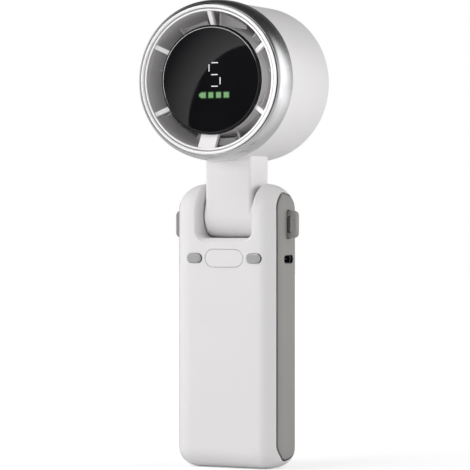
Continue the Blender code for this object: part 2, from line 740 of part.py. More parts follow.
def strap_loops(finish):
    """A flat eye on each side. Its foot is held inside the casing and its slot lies against the strip."""
    face = HANDLE_WIDTH / 2
    foot_outer = face - HANDLE_WALL - FIT
    foot_inner = foot_outer - LOOP_FOOT_THICKNESS
    root = foot_outer - MERGE
    tip = face + LOOP_REACH
    half = LOOP_LENGTH / 2
    for side, word in ((-1, "left"), (1, "right")):
        outline = [(side * root, -half)]
        outline += arc((side * (tip - LOOP_CORNER), LOOP_CORNER - half), (side * LOOP_CORNER, LOOP_CORNER),
                       -QUARTER_TURN, 0, LOOP_CORNER_STEPS)
        outline += arc((side * (tip - LOOP_CORNER), half - LOOP_CORNER), (side * LOOP_CORNER, LOOP_CORNER),
                       0, QUARTER_TURN, LOOP_CORNER_STEPS)
        outline.append((side * root, half))
        plate = prism("Y", outline, -LOOP_THICKNESS / 2, LOOP_THICKNESS / 2)
        loop = add_object(f"strap_loop_{word}", plate, finish, (0, 0, LOOP_HEIGHT))
        foot_outline = box_outline(-LOOP_FOOT_DEPTH / 2, LOOP_FOOT_DEPTH / 2,
                                   -LOOP_FOOT_LENGTH / 2, LOOP_FOOT_LENGTH / 2)
        foot = prism("X", foot_outline, side * foot_inner, side * foot_outer)
        join(loop, tool(f"loop_foot_{word}_tool", foot, (0, 0, LOOP_HEIGHT)))
        slot_half_width = (LOOP_REACH - LOOP_BAR) / 2
        slot_outline = rounded_rectangle(slot_half_width, half - LOOP_BAR, LOOP_SLOT_CORNER,
                                         SMALL_CORNER_STEPS)
        slot_outline = shifted(slot_outline, side * (face + slot_half_width), 0)
        slot = prism("Y", slot_outline, -LOOP_THICKNESS, LOOP_THICKNESS)
        cut(loop, tool(f"loop_slot_{word}_tool", slot, (0, 0, LOOP_HEIGHT)))


# Buttons and boards

def button(name, length, height, offset, proud, finish):
    """A key that slides along Y. Its origin is on its face and its flange is behind the casing's wall."""
    cap_depth = proud + HANDLE_WALL + FIT
    flange_depth = cap_depth + BUTTON_FLANGE_THICKNESS
    place = (offset, -HANDLE_DEPTH / 2 - proud, BUTTON_HEIGHT)
    cap = prism("Y", stadium(length, height, BUTTON_ARC_STEPS), 0, cap_depth + MERGE)
    key = add_object(name, cap, finish, place)
    flange_outline = stadium(length + 2 * BUTTON_FLANGE, height + 2 * BUTTON_FLANGE, BUTTON_ARC_STEPS)
    flange = prism("Y", flange_outline, cap_depth, flange_depth)
    join(key, tool(f"{name}_flange_tool", flange, place))


def control_board(finish, switch_finish):
    front = -HANDLE_DEPTH / 2 + HANDLE_WALL + FIT + BUTTON_FLANGE_THICKNESS + BUTTON_TRAVEL_ROOM
    plunger_root = front + SWITCH_PLUNGER_LENGTH
    body_rear = plunger_root + SWITCH_DEPTH
    board_front = body_rear + FIT
    top = FLOOR_HEIGHT - FLOOR_WALL - FIT
    outline = box_outline(-CONTROL_BOARD_WIDTH / 2, CONTROL_BOARD_WIDTH / 2, top - CONTROL_BOARD_HEIGHT, top)
    board_rear = board_front + BOARD_THICKNESS
    board = add_object("control_board", prism("Y", outline, board_front, board_rear), finish)
    for index, (x, z) in enumerate(screw_places()):
        notch = rod("Y", SCREW_BOSS_RADIUS + FIT, board_front - OVERRUN, board_rear + OVERRUN, SMALL_SEGMENTS)
        cut(board, tool(f"board_notch_{index}_tool", notch, (x, 0, z)))
    for word, offset in (("power", 0), ("speed_down", -SPEED_OFFSET), ("speed_up", SPEED_OFFSET)):
        place = (offset, 0, BUTTON_HEIGHT)
        body_outline = rounded_rectangle(SWITCH_BODY / 2, SWITCH_BODY / 2, FIT, SMALL_CORNER_STEPS)
        body = prism("Y", body_outline, plunger_root, body_rear)
        switch = add_object(f"{word}_switch", body, switch_finish, place)
        plunger = rod("Y", SWITCH_PLUNGER_RADIUS, front, plunger_root + MERGE, HOLE_SEGMENTS)
        join(switch, tool(f"{word}_plunger_tool", plunger, place))
    return board_rear


def charging(board_finish, metal_finish, board_rear):
    mouth = HANDLE_WIDTH / 2 - SOCKET_SETBACK
    back = mouth - SOCKET_LENGTH
    place = (0, 0, SOCKET_HEIGHT)
    can_outline = stadium(SOCKET_WIDTH, SOCKET_THICKNESS, BUTTON_ARC_STEPS)
    port = add_object("usb_c_port", prism("X", can_outline, back, mouth), metal_finish, place)
    width = SOCKET_WIDTH - 2 * SOCKET_WALL
    thickness = SOCKET_THICKNESS - 2 * SOCKET_WALL
    hollow = prism("X", stadium(width, thickness, BUTTON_ARC_STEPS), back + 2 * SOCKET_WALL, mouth + OVERRUN)
    cut(port, tool("port_hollow_tool", hollow, place))
    half_width = SOCKET_TONGUE_WIDTH / 2
    half_thickness = SOCKET_TONGUE_THICKNESS / 2
    tongue_outline = box_outline(-half_width, half_width, -half_thickness, half_thickness)
    tongue = prism("X", tongue_outline, back + SOCKET_WALL, mouth - 2 * SOCKET_WALL)
    join(port, tool("port_tongue_tool", tongue, place))
    top = SOCKET_HEIGHT - SOCKET_THICKNESS / 2 - FIT
    right = HANDLE_WIDTH / 2 - HANDLE_WALL - OVERRUN
    outline = box_outline(-CHARGE_BOARD_LEFT, right, board_rear + FIT, CHARGE_BOARD_REAR)
    add_object("charge_board", prism("Z", outline, top - BOARD_THICKNESS, top), board_finish)


def battery(cell_finish, holder_finish):
    body_top = CELL_LENGTH - CELL_BUTTON_HEIGHT
    outline = [
        (0, 0),
        (CELL_RADIUS, 0),
        (CELL_RADIUS, body_top),
        (CELL_BUTTON_RADIUS, body_top),
        (CELL_BUTTON_RADIUS, CELL_LENGTH),
        (0, CELL_LENGTH),
    ]
    for side, word in ((-1, "left"), (1, "right")):
        place = (side * CELL_SPREAD, CELL_SETBACK, CELL_FOOT_HEIGHT)
        add_object(f"battery_cell_{word}", turned("Z", outline, ROUND_SEGMENTS), cell_finish, place)
    plate = box_outline(-HOLDER_HALF_WIDTH, HOLDER_HALF_WIDTH, -SPINE_FRONT + SPINE_WIDTH / 2,
                        CELL_SETBACK + HOLDER_DEPTH / 2)
    foot = CELL_FOOT_HEIGHT - FIT - HOLDER_PLATE
    head = CELL_FOOT_HEIGHT + CELL_LENGTH + FIT
    holder = add_object("battery_holder", prism("Z", plate, foot, foot + HOLDER_PLATE), holder_finish)
    join(holder, tool("holder_head_tool", prism("Z", plate, head, head + HOLDER_PLATE)))
    between = math.sqrt(CELL_RADIUS ** 2 - (CELL_SPREAD - SPINE_WIDTH / 2) ** 2)
    spine_rear = CELL_SETBACK - between - 2 * FIT
    spine_outline = box_outline(-SPINE_WIDTH / 2, SPINE_WIDTH / 2, -SPINE_FRONT, spine_rear)
    spine = prism("Z", spine_outline, foot + MERGE, head + HOLDER_PLATE - MERGE)
    join(holder, tool("holder_spine_tool", spine))


def screw(name, place, length, finish, parent=None):
    """A slotted pan-head screw along Y, with its head to the rear and its origin under the head."""
    outline = [
        (0, -length),
        (SCREW_RADIUS, -length),
        (SCREW_RADIUS, 0),
        (SCREW_HEAD_RADIUS, 0),
        (SCREW_HEAD_RADIUS, SCREW_HEAD_HEIGHT - FIT),
        (SCREW_HEAD_RADIUS - FIT, SCREW_HEAD_HEIGHT),
        (0, SCREW_HEAD_HEIGHT),
    ]
    made = add_object(name, turned("Y", outline, HOLE_SEGMENTS), finish, place, parent)
    half_slot = SCREW_SLOT_WIDTH / 2
    slot_outline = box_outline(-SCREW_HEAD_RADIUS, SCREW_HEAD_RADIUS, -half_slot, half_slot)
    slot = prism("Y", slot_outline, SCREW_HEAD_HEIGHT - SCREW_SLOT_DEPTH, SCREW_HEAD_HEIGHT + OVERRUN)
    cut(made, tool(f"{name}_slot_tool", slot, place, parent))


def case_screws(finish):
    under_head = HANDLE_DEPTH / 2 - SCREW_SINK - SCREW_HEAD_HEIGHT
    for (x, z), word in zip(screw_places(), ("left", "right")):
        screw(f"case_screw_{word}", (x, under_head, z), SCREW_LENGTH, finish)


# Hinge

def hinge(steel, bush_finish, pivot):
    pin = tube("X", PIN_BORE, PIN_RADIUS, -PIN_HALF_LENGTH, PIN_HALF_LENGTH, ROUND_SEGMENTS)
    add_object("hinge_pin", pin, steel, (0, 0, 0), pivot)
    start = GAP_HALF_WIDTH + FIT
    for side, word in ((-1, "left"), (1, "right")):
        sleeve = tube("X", PIN_RADIUS + FIT, SLEEVE_RADIUS, side * start, side * (SLEEVE_BOSS_END - FIT),
                      ROUND_SEGMENTS)
        add_object(f"friction_sleeve_{word}", sleeve, bush_finish, (0, 0, HINGE_HEIGHT))


# Head

def drum_outline():
    corner = arc((DRUM_RADIUS - DRUM_EDGE, DRUM_REAR - DRUM_EDGE), (DRUM_EDGE, DRUM_EDGE),
                 0, QUARTER_TURN, DRUM_EDGE_STEPS)
    spigot = DRUM_BORE + SPIGOT_WALL
    return [
        (0, SPIGOT_FRONT),
        (spigot, SPIGOT_FRONT),
        (spigot, DRUM_FRONT),
        (DRUM_RADIUS, DRUM_FRONT),
        *corner,
        (0, DRUM_REAR),
    ]


def cover_screw_places():
    height = (POCKET_FLOOR + POCKET_ROOF) / 2 - HEAD_RISE
    return [(side * COVER_SCREW_SPREAD, height) for side in (-1, 1)]


def head_housing(finish, head):
    """The drum, the neck and the hinge barrel, moulded in one piece."""
    housing = add_object("head_housing", turned("Y", drum_outline(), DRUM_SEGMENTS), finish, parent=head)
    neck_top = -DRUM_BORE - FIT
    neck_outline = rounded_rectangle(NECK_WIDTH / 2, NECK_DEPTH / 2, NECK_EDGE, SMALL_CORNER_STEPS)
    neck = prism("Z", neck_outline, -HEAD_RISE, neck_top)
    barrel_edge = BARREL_HALF_WIDTH - BARREL_CHAMFER
    chamfered = BARREL_RADIUS - BARREL_CHAMFER
    barrel_outline = [
        (0, -BARREL_HALF_WIDTH),
        (chamfered, -BARREL_HALF_WIDTH),
        (BARREL_RADIUS, -barrel_edge),
        (BARREL_RADIUS, barrel_edge),
        (chamfered, BARREL_HALF_WIDTH),
        (0, BARREL_HALF_WIDTH),
    ]
    at_hinge = (0, 0, -HEAD_RISE)
    barrel = turned("X", barrel_outline, BARREL_SEGMENTS)
    join(housing, tool("neck_tool", neck, parent=head), tool("barrel_tool", barrel, at_hinge, head))
    lip_front = DRUM_REAR - REAR_LIP_THICKNESS
    bore_outline = [
        (0, SPIGOT_FRONT - OVERRUN),
        (DRUM_BORE, SPIGOT_FRONT - OVERRUN),
        (DRUM_BORE, lip_front),
        (DRUM_BORE - REAR_LIP_WIDTH, lip_front),
        (DRUM_BORE - REAR_LIP_WIDTH, DRUM_REAR + OVERRUN),
        (0, DRUM_REAR + OVERRUN),
    ]
    bore = turned("Y", bore_outline, DRUM_SEGMENTS)
    cut(housing, tool("drum_bore_tool", bore, parent=head))
    pocket_outline = box_outline(-POCKET_HALF_WIDTH, POCKET_HALF_WIDTH,
                                 POCKET_FLOOR - HEAD_RISE, POCKET_ROOF - HEAD_RISE)
    pocket_front = -NECK_DEPTH / 2 + POCKET_FRONT_WALL
    pocket = tool("neck_pocket_tool", prism("Y", pocket_outline, pocket_front, NECK_DEPTH), parent=head)
    boss_rear = NECK_DEPTH / 2 - COVER_THICKNESS - FIT
    for index, (x, z) in enumerate(cover_screw_places()):
        boss = rod("Y", SCREW_BOSS_RADIUS, pocket_front - MERGE, boss_rear, SMALL_SEGMENTS)
        cut(pocket, tool(f"cover_boss_{index}_tool", boss, (x, 0, z), head))
    cut(housing, pocket)
    for index, (x, z) in enumerate(cover_screw_places()):
        hole_front = boss_rear - COVER_SCREW_LENGTH
        hole = rod("Y", SCREW_RADIUS + FIT, hole_front, boss_rear + OVERRUN, HOLE_SEGMENTS)
        cut(housing, tool(f"cover_screw_hole_{index}_tool", hole, (x, 0, z), head))
    pin_way = rod("X", PIN_RADIUS + FIT, -BARREL_HALF_WIDTH - OVERRUN, BARREL_HALF_WIDTH + OVERRUN,
                  ROUND_SEGMENTS)
    wire_way = rod("Z", WIRE_WAY_RADIUS, -HEAD_RISE, -DRUM_BORE + OVERRUN, SMALL_SEGMENTS)
    cut(housing, tool("pin_way_tool", pin_way, at_hinge, head))
    cut(housing, tool("wire_way_tool", wire_way, parent=head))


def neck_cover(finish, steel, head):
    rear = NECK_DEPTH / 2
    half_width = POCKET_HALF_WIDTH - FIT
    low = POCKET_FLOOR + FIT - HEAD_RISE
    high = POCKET_ROOF - FIT - HEAD_RISE
    plate = prism("Y", box_outline(-half_width, half_width, low, high), rear - COVER_THICKNESS, rear)
    cover = add_object("neck_rear_cover", plate, finish, parent=head)
    seat = rear - COVER_THICKNESS / 2
    for (x, z), word in zip(cover_screw_places(), ("left", "right")):
        hole = rod("Y", SCREW_RADIUS + FIT, 0, rear, HOLE_SEGMENTS)
        sink = rod("Y", SCREW_HEAD_RADIUS + FIT, seat - FIT, rear + OVERRUN, SMALL_SEGMENTS)
        cut(cover, tool(f"cover_{word}_hole_tool", hole, (x, 0, z), head))
        cut(cover, tool(f"cover_{word}_sink_tool", sink, (x, 0, z), head))
        screw(f"neck_screw_{word}", (x, seat, z), COVER_SCREW_LENGTH, steel, head)


def bezel(finish, head):
    inner = DRUM_BORE + SPIGOT_WALL + FIT
    curve_front = BEZEL_FRONT + 2 * RIM_CHAMFER
    curve = arc((RIM_OUTER_RADIUS, BEZEL_WIDEST),
                (BEZEL_RADIUS - RIM_OUTER_RADIUS, BEZEL_WIDEST - curve_front),
                -QUARTER_TURN, 0, BEZEL_CURVE_STEPS)
    outline = [
        (RIM_INNER_RADIUS, BEZEL_FRONT + RIM_CHAMFER),
        (RIM_INNER_RADIUS + RIM_CHAMFER, BEZEL_FRONT),
        (RIM_OUTER_RADIUS - RIM_CHAMFER, BEZEL_FRONT),
        *curve,
        (BEZEL_RADIUS, DRUM_FRONT - FIT),
        (inner, DRUM_FRONT - FIT),
        (inner, SPIGOT_FRONT - FIT),
        (RIM_INNER_RADIUS, BEZEL_FRONT + RIM_THICKNESS),
    ]
    add_object("front_bezel", turned("Y", outline, DRUM_SEGMENTS), finish, parent=head)


def spoke(width, shift, inner, outer, turn):
    """A spoke that leans forward from the hub to the ring, set to one side by the shift."""
    rings = []
    for radius, front in ((inner, GRILLE_HUB_FRONT + 2 * FIT), (outer, GRILLE_FRONT + FIT)):
        corners = box_outline(shift - width / 2, shift + width / 2, front, front + SPOKE_DEPTH)
        ring = []
        for across, along in corners:
            x = radius * math.cos(turn) - across * math.sin(turn)
            z = radius * math.sin(turn) + across * math.cos(turn)
            ring.append((x, along, z))
        rings.append(ring)
    return lofted(rings)


def front_grille(finish, head):
    ring_outer = RIM_INNER_RADIUS - FIT
    ring_inner = ring_outer - GRILLE_RING_WIDTH
    rear = SPIGOT_FRONT + FIT
    ring = tube("Y", ring_inner, ring_outer, GRILLE_FRONT, rear, DRUM_SEGMENTS)
    grille = add_object("front_grille", ring, finish, parent=head)
    hub = tube("Y", HUB_RADIUS - HUB_WALL, HUB_RADIUS, GRILLE_HUB_FRONT, GRILLE_HUB_REAR, DRUM_SEGMENTS)
    join(grille, tool("grille_hub_tool", hub, parent=head))
    for index in range(SPOKE_COUNT):
        turn = -QUARTER_TURN + FULL_TURN * index / SPOKE_COUNT
        width = BOTTOM_SPOKE_WIDTH if index == 0 else SPOKE_WIDTH
        shift = BOTTOM_SPOKE_SHIFT if index == 0 else 0
        shape = spoke(width, shift, HUB_RADIUS - HUB_WALL / 2, ring_inner + GRILLE_RING_WIDTH / 2, turn)
        join(grille, tool(f"spoke_{index}_tool", shape, parent=head))


def display(lens_finish, board_finish, head):
    edge = HUB_RADIUS - LENS_BEVEL_WIDTH
    bevel = arc((edge, LENS_FRONT + LENS_BEVEL_DEPTH), (LENS_BEVEL_WIDTH, LENS_BEVEL_DEPTH),
                -QUARTER_TURN, 0, LENS_EDGE_STEPS)
    plug = HUB_RADIUS - HUB_WALL - FIT
    plug_rear = GRILLE_HUB_FRONT - FIT + LENS_PLUG_DEPTH
    outline = [
        (0, LENS_FRONT),
        *bevel,
        (HUB_RADIUS, GRILLE_HUB_FRONT - FIT),
        (plug, GRILLE_HUB_FRONT - FIT),
        (plug, plug_rear),
        (0, plug_rear),
    ]
    add_object("display_lens", turned("Y", outline, DRUM_SEGMENTS), lens_finish, parent=head)
    board_front = plug_rear + FIT
    board = rod("Y", plug, board_front, board_front + BOARD_THICKNESS, WIDE_SEGMENTS)
    panel = add_object("display_board", board, board_finish, parent=head)
    half_width = DISPLAY_MODULE_WIDTH / 2
    half_height = DISPLAY_MODULE_HEIGHT / 2
    module_outline = box_outline(-half_width, half_width, -half_height, half_height)
    rear = board_front + BOARD_THICKNESS
    module = prism("Y", module_outline, rear - MERGE, rear + DISPLAY_MODULE_DEPTH)
    join(panel, tool("display_module_tool", module, parent=head))


def guide_vanes(finish, head):
    """The duct liner, the nine guide vanes, the hub behind the display and the bearing tube."""
    front = SPIGOT_FRONT + 2 * FIT
    liner = tube("Y", DUCT_RADIUS, DUCT_RADIUS + LINER_WALL, front, LINER_REAR, DRUM_SEGMENTS)
    vanes = add_object("guide_vane_ring", liner, finish, parent=head)
    hub_front = GRILLE_HUB_REAR + FIT
    hub_inner = HUB_RADIUS - HUB_WALL
    tube_inner = BEARING_RADIUS + FIT
    tube_outer = tube_inner + BEARING_TUBE_WALL
    floor_front = STATOR_HUB_REAR - MOTOR_FLOOR
    hub_outline = [
        (hub_inner, hub_front),
        (HUB_RADIUS, hub_front),
        (HUB_RADIUS, STATOR_HUB_REAR),
        (tube_outer, STATOR_HUB_REAR),
        (tube_outer, BEARING_TUBE_REAR),
        (tube_inner, BEARING_TUBE_REAR),
        (tube_inner, floor_front),
        (hub_inner, floor_front),
    ]
    join(vanes, tool("vane_hub_tool", turned("Y", hub_outline, DRUM_SEGMENTS), parent=head))
    for index in range(VANE_COUNT):
        turn = QUARTER_TURN + FULL_TURN * index / VANE_COUNT
        inner = HUB_RADIUS - HUB_WALL / 2
        outer = DUCT_RADIUS + LINER_WALL / 2
        shape = swept_blade(inner, outer, VANE_FRONT, VANE_REAR, -VANE_SWEEP, VANE_THICKNESS,
                            VANE_STEPS, turn)
        join(vanes, tool(f"vane_{index}_tool", shape, parent=head))


def rear_grille(finish, head):
    front = LINER_REAR + FIT
    rear = front + REAR_GRILLE_THICKNESS
    outer = DRUM_BORE - FIT
    ring = tube("Y", outer - REAR_GRILLE_RING - REAR_LIP_WIDTH, outer, front, rear, DRUM_SEGMENTS)
    grille = add_object("rear_grille", ring, finish, parent=head)
    half_ring = REAR_GRILLE_MID_RING / 2
    mid = tube("Y", REAR_GRILLE_MID_RADIUS - half_ring, REAR_GRILLE_MID_RADIUS + half_ring,
               front + FIT, rear - FIT, WIDE_SEGMENTS)
    cap_outline = [
        (0, front),
        (REAR_GRILLE_CAP_RADIUS, front),
        (REAR_GRILLE_CAP_RADIUS, rear),
        (REAR_GRILLE_CAP_RADIUS * CAP_SHOULDER_RADIUS_SHARE,
         rear + REAR_GRILLE_CAP_DOME * CAP_SHOULDER_HEIGHT_SHARE),
        (0, rear + REAR_GRILLE_CAP_DOME),
    ]
    join(grille, tool("grille_mid_ring_tool", mid, parent=head))
    join(grille, tool("grille_cap_tool", turned("Y", cap_outline, WIDE_SEGMENTS), parent=head))
    inner = REAR_GRILLE_CAP_RADIUS - REAR_BAR_WIDTH
    bar_outline = box_outline(inner, outer - REAR_GRILLE_RING, -REAR_BAR_WIDTH / 2, REAR_BAR_WIDTH / 2)
    for index in range(REAR_BAR_COUNT):
        shape = prism("Y", bar_outline, front + 2 * FIT, rear - 2 * FIT)
        bar = tool(f"grille_bar_{index}_tool", shape, parent=head)
        bar.rotation_euler = (0, FULL_TURN * index / REAR_BAR_COUNT, 0)
        join(grille, bar)


# Motor and impeller

def motor(core_finish, magnet_finish, steel, board_finish, head, rotor):
    tube_outer = BEARING_RADIUS + FIT + BEARING_TUBE_WALL
    core_inner = tube_outer + FIT
    ring = tube("Y", core_inner, core_inner + CORE_RING_WIDTH, CORE_FRONT, CORE_REAR,
                3 * TOOTH_COUNT)
    core = add_object("motor_stator", ring, core_finish, parent=head)
    for index in range(TOOTH_COUNT):
        turn = FULL_TURN * index / TOOTH_COUNT
        shoe = CORE_RADIUS - TOOTH_SHOE_DEPTH
        tooth_outline = [
            (core_inner + CORE_RING_WIDTH / 2, -TOOTH_WIDTH / 2),
            (shoe, -TOOTH_WIDTH / 2),
            (shoe, -TOOTH_SHOE_WIDTH / 2),
            (CORE_RADIUS - FIT, -TOOTH_SHOE_WIDTH / 2),
            (CORE_RADIUS, 0),
            (CORE_RADIUS - FIT, TOOTH_SHOE_WIDTH / 2),
            (shoe, TOOTH_SHOE_WIDTH / 2),
            (shoe, TOOTH_WIDTH / 2),
            (core_inner + CORE_RING_WIDTH / 2, TOOTH_WIDTH / 2),
        ]
        shape = prism("Y", tooth_outline, CORE_FRONT + FIT, CORE_REAR - FIT)
        tooth = tool(f"tooth_{index}_tool", shape, parent=head)
        tooth.rotation_euler = (0, turn, 0)
        join(core, tooth)
    bearing_inner = SHAFT_RADIUS + FIT
    for word, front in (("front", FRONT_BEARING), ("rear", REAR_BEARING)):
        race = tube("Y", bearing_inner, BEARING_RADIUS, front, front + BEARING_WIDTH, SMALL_SEGMENTS)
        add_object(f"shaft_bearing_{word}", race, steel, parent=head)
    board_rear = STATOR_HUB_REAR - MOTOR_FLOOR - FIT
    board = tube("Y", DRIVER_BOARD_BORE, DRIVER_BOARD_RADIUS, board_rear - BOARD_THICKNESS, board_rear,
                 WIDE_SEGMENTS)
    add_object("motor_driver_board", board, board_finish, parent=head)
    magnet_inner = CORE_RADIUS + MAGNET_GAP
    magnet_outer = magnet_inner + MAGNET_THICKNESS
    magnet = tube("Y", magnet_inner, magnet_outer, CORE_FRONT, CORE_REAR, WIDE_SEGMENTS)
    add_object("magnet_ring", magnet, magnet_finish, parent=rotor)
    bell_inner = magnet_outer + FIT
    bell_outer = bell_inner + BELL_WALL
    bell_outline = [
        (bell_inner, BELL_FRONT),
        (bell_outer, BELL_FRONT),
        (bell_outer, BELL_REAR),
        (bearing_inner, BELL_REAR),
        (bearing_inner, BELL_REAR - BELL_WALL),
        (bell_inner, BELL_REAR - BELL_WALL),
    ]
    add_object("rotor_bell", turned("Y", bell_outline, WIDE_SEGMENTS), steel, parent=rotor)
    shaft = rod("Y", SHAFT_RADIUS, SHAFT_FRONT, SHAFT_REAR, SMALL_SEGMENTS)
    add_object("motor_shaft", shaft, steel, parent=rotor)
    return bell_outer


def impeller(finish, rotor, bell_outer):
    """A domed hub, open towards the motor, with nine swept blades."""
    bore = SHAFT_RADIUS + FIT
    base = HUB_RADIUS - FIT
    reach = IMPELLER_REAR - IMPELLER_FRONT
    dome = arc((0, IMPELLER_FRONT), (base, reach), 0, QUARTER_TURN, IMPELLER_DOME_STEPS)[:-1]
    inner_base = base - IMPELLER_SKIN
    inner_reach = reach - IMPELLER_SKIN
    inside = arc((0, IMPELLER_FRONT), (inner_base, inner_reach), 0, QUARTER_TURN, IMPELLER_DOME_STEPS)
    seat_inner = bell_outer + FIT
    seat_outer = seat_inner + IMPELLER_SKIN
    pocket_rear = BELL_REAR + FIT
    hollow = [point for point in inside if point[0] > seat_outer + IMPELLER_SKIN]
    meeting = IMPELLER_FRONT + inner_reach * math.sqrt(1 - (seat_outer / inner_base) ** 2)
    outline = [
        (bore, IMPELLER_REAR - FIT),
        *reversed(dome),
        *hollow,
        (seat_outer, meeting),
        (seat_outer, BELL_FRONT),
        (seat_inner, BELL_FRONT),
        (seat_inner, pocket_rear),
        (bore, pocket_rear),
    ]
    hub = add_object("impeller", turned("Y", outline, WIDE_SEGMENTS), finish, parent=rotor)
    for index in range(BLADE_COUNT):
        turn = FULL_TURN * index / BLADE_COUNT
        root = seat_outer + IMPELLER_SKIN
        shape = swept_blade(root, DUCT_RADIUS - BLADE_TIP_GAP, BLADE_FRONT, BLADE_REAR, BLADE_SWEEP,
                            BLADE_THICKNESS, BLADE_STEPS, turn)
        join(hub, tool(f"blade_{index}_tool", shape, parent=rotor))


def main():
    clear_scene()
    white = material("white_plastic", (0.80, 0.79, 0.78), 0.45)
    grey = material("grey_strip", (0.30, 0.29, 0.28), 0.55)
    rubber = material("grey_rubber", (0.36, 0.36, 0.36), 0.75)
    silver = material("satin_silver", (0.62, 0.62, 0.63), 0.32, 1.0)
    black = material("black_lens", (0.006, 0.006, 0.007), 0.08)
    duct = material("duct_grey", (0.24, 0.23, 0.23), 0.6)
    steel = material("steel", (0.55, 0.55, 0.56), 0.35, 1.0)
    bronze = material("sintered_bronze", (0.45, 0.30, 0.14), 0.5, 1.0)
    board = material("board_green", (0.02, 0.14, 0.06), 0.5)
    dark = material("dark_plastic", (0.03, 0.03, 0.03), 0.5)
    cell = material("cell_sleeve", (0.05, 0.20, 0.40), 0.4)
    copper = material("wound_copper", (0.60, 0.28, 0.12), 0.4, 1.0)

    pivot = empty("head_pivot", (0, 0, HINGE_HEIGHT))
    head = empty("fan_axis", (0, 0, HEAD_RISE), pivot)
    rotor = empty("rotor_axis", (0, 0, 0), head)

    shared = handle_tools()
    front_shell(white, shared)
    rear_shell(white, shared)
    side_strips(grey, shared)
    strap_loops(grey)
    button("power_button", POWER_LENGTH, POWER_HEIGHT, 0, 0, white)
    button("speed_down_button", SPEED_LENGTH, SPEED_HEIGHT, -SPEED_OFFSET, SPEED_PROUD, rubber)
    button("speed_up_button", SPEED_LENGTH, SPEED_HEIGHT, SPEED_OFFSET, SPEED_PROUD, rubber)
    board_rear = control_board(board, dark)
    charging(board, steel, board_rear)
    battery(cell, dark)
    case_screws(steel)
    hinge(steel, bronze, pivot)

    head_housing(white, head)
    neck_cover(white, steel, head)
    bezel(silver, head)
    front_grille(white, head)
    display(black, board, head)
    guide_vanes(duct, head)
    rear_grille(white, head)
    bell_outer = motor(copper, dark, steel, board, head, rotor)
    impeller(duct, rotor, bell_outer)


main()
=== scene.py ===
"""Looks of the folding pocket fan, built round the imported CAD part. Metres, +Z up, the front faces -Y.

The handle's pieces are modelled in place. The head's pieces are modelled round the fan's axis, which is
their origin. Each visible piece has the CAD's size, with finer curves and soft edges.
"""
import math

import bmesh
import bpy
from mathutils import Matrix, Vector


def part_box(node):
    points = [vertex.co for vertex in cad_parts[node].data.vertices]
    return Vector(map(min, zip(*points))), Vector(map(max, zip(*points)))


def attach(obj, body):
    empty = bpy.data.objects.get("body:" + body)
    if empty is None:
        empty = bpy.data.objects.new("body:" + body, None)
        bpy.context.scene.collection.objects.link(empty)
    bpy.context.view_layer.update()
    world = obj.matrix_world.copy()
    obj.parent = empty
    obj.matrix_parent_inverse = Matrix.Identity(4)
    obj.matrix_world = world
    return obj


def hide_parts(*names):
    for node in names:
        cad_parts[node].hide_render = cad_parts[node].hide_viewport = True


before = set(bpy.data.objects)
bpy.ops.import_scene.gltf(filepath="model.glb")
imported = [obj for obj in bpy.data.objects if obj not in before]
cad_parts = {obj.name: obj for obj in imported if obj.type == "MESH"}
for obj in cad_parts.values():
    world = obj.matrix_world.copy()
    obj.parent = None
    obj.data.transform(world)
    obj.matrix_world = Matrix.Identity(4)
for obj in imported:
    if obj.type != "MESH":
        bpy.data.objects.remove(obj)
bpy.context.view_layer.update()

MM = 0.001
FULL_TURN = 2 * math.pi
HALF_TURN = math.pi
QUARTER_TURN = math.pi / 2
SMOOTH_ANGLE = math.radians(32.0)

# The CAD's sizes
FIT = 0.3 * MM
SHUT_LINE = 0.6 * MM
OVERRUN = 1.0 * MM
MERGE = 0.3 * MM
HANDLE_WIDTH = 46.0 * MM
HANDLE_DEPTH = 25.5 * MM
HANDLE_WALL = 2.2 * MM
HINGE_HEIGHT = 102.6 * MM
FAN_HEIGHT = 156.7 * MM
HEAD_RISE = FAN_HEIGHT - HINGE_HEIGHT
HANDLE_SIDE = HANDLE_WIDTH / 2
HANDLE_FACE = HANDLE_DEPTH / 2
SIDE_CUT_START = HANDLE_SIDE - HANDLE_WALL - OVERRUN
SIDE_CUT_END = HANDLE_SIDE + OVERRUN
PLAN_CORNER = 8.0 * MM
EAR_CORNER = 10.0 * MM
FOOT_CORNER = 7.5 * MM
FOOT_ROUND = 8.0 * MM
EAR_TIP_TURN = math.radians(86.0)
SHUT_PLANE = 1.5 * MM
NECK_WIDTH = 20.6 * MM
NECK_DEPTH = 17.5 * MM
NECK_EDGE = 1.5 * MM
BARREL_HALF_WIDTH = 10.7 * MM
BARREL_RADIUS = NECK_DEPTH / 2
BARREL_DROP = 9.05 * MM
TROUGH_RADIUS = 9.2 * MM
FLOOR_HEIGHT = HINGE_HEIGHT - TROUGH_RADIUS
GAP_HALF_WIDTH = 11.2 * MM
EAR_INNER_WALL = 1.8 * MM
FLOOR_WALL = 1.8 * MM
LIP_SPREAD = 2.4 * MM
LIP_DEPTH = 3.05 * MM
LIP_DROP = 2.2 * MM
LIP_TURN = math.radians(62.0)
LIP_CORNER = 3.4 * MM
LIP_INNER_CORNER = 2.4 * MM
REAR_LIP_BELOW_AXIS = 2.0 * MM
PIN_RADIUS = 2.5 * MM
SLEEVE_RADIUS = 4.2 * MM
SLEEVE_BOSS_RADIUS = 6.2 * MM
SLEEVE_BOSS_END = 18.6 * MM
STRIP_WIDTH = 17.0 * MM
STRIP_THICKNESS = 1.0 * MM
STRIP_FOOT_HEIGHT = 3.6 * MM
STRIP_TIP_HEIGHT = 111.25 * MM
STRIP_END_RISE = 6.5 * MM
LOOP_HEIGHT = 98.9 * MM
LOOP_REACH = 4.1 * MM
LOOP_LENGTH = 11.0 * MM
LOOP_THICKNESS = 3.0 * MM
LOOP_BAR = 2.2 * MM
LOOP_SLOT_WIDTH = 1.8 * MM
LOOP_CORNER = 2.0 * MM
LOOP_SLOT_CORNER = 0.6 * MM
LOOP_FOOT_LENGTH = 14.0 * MM
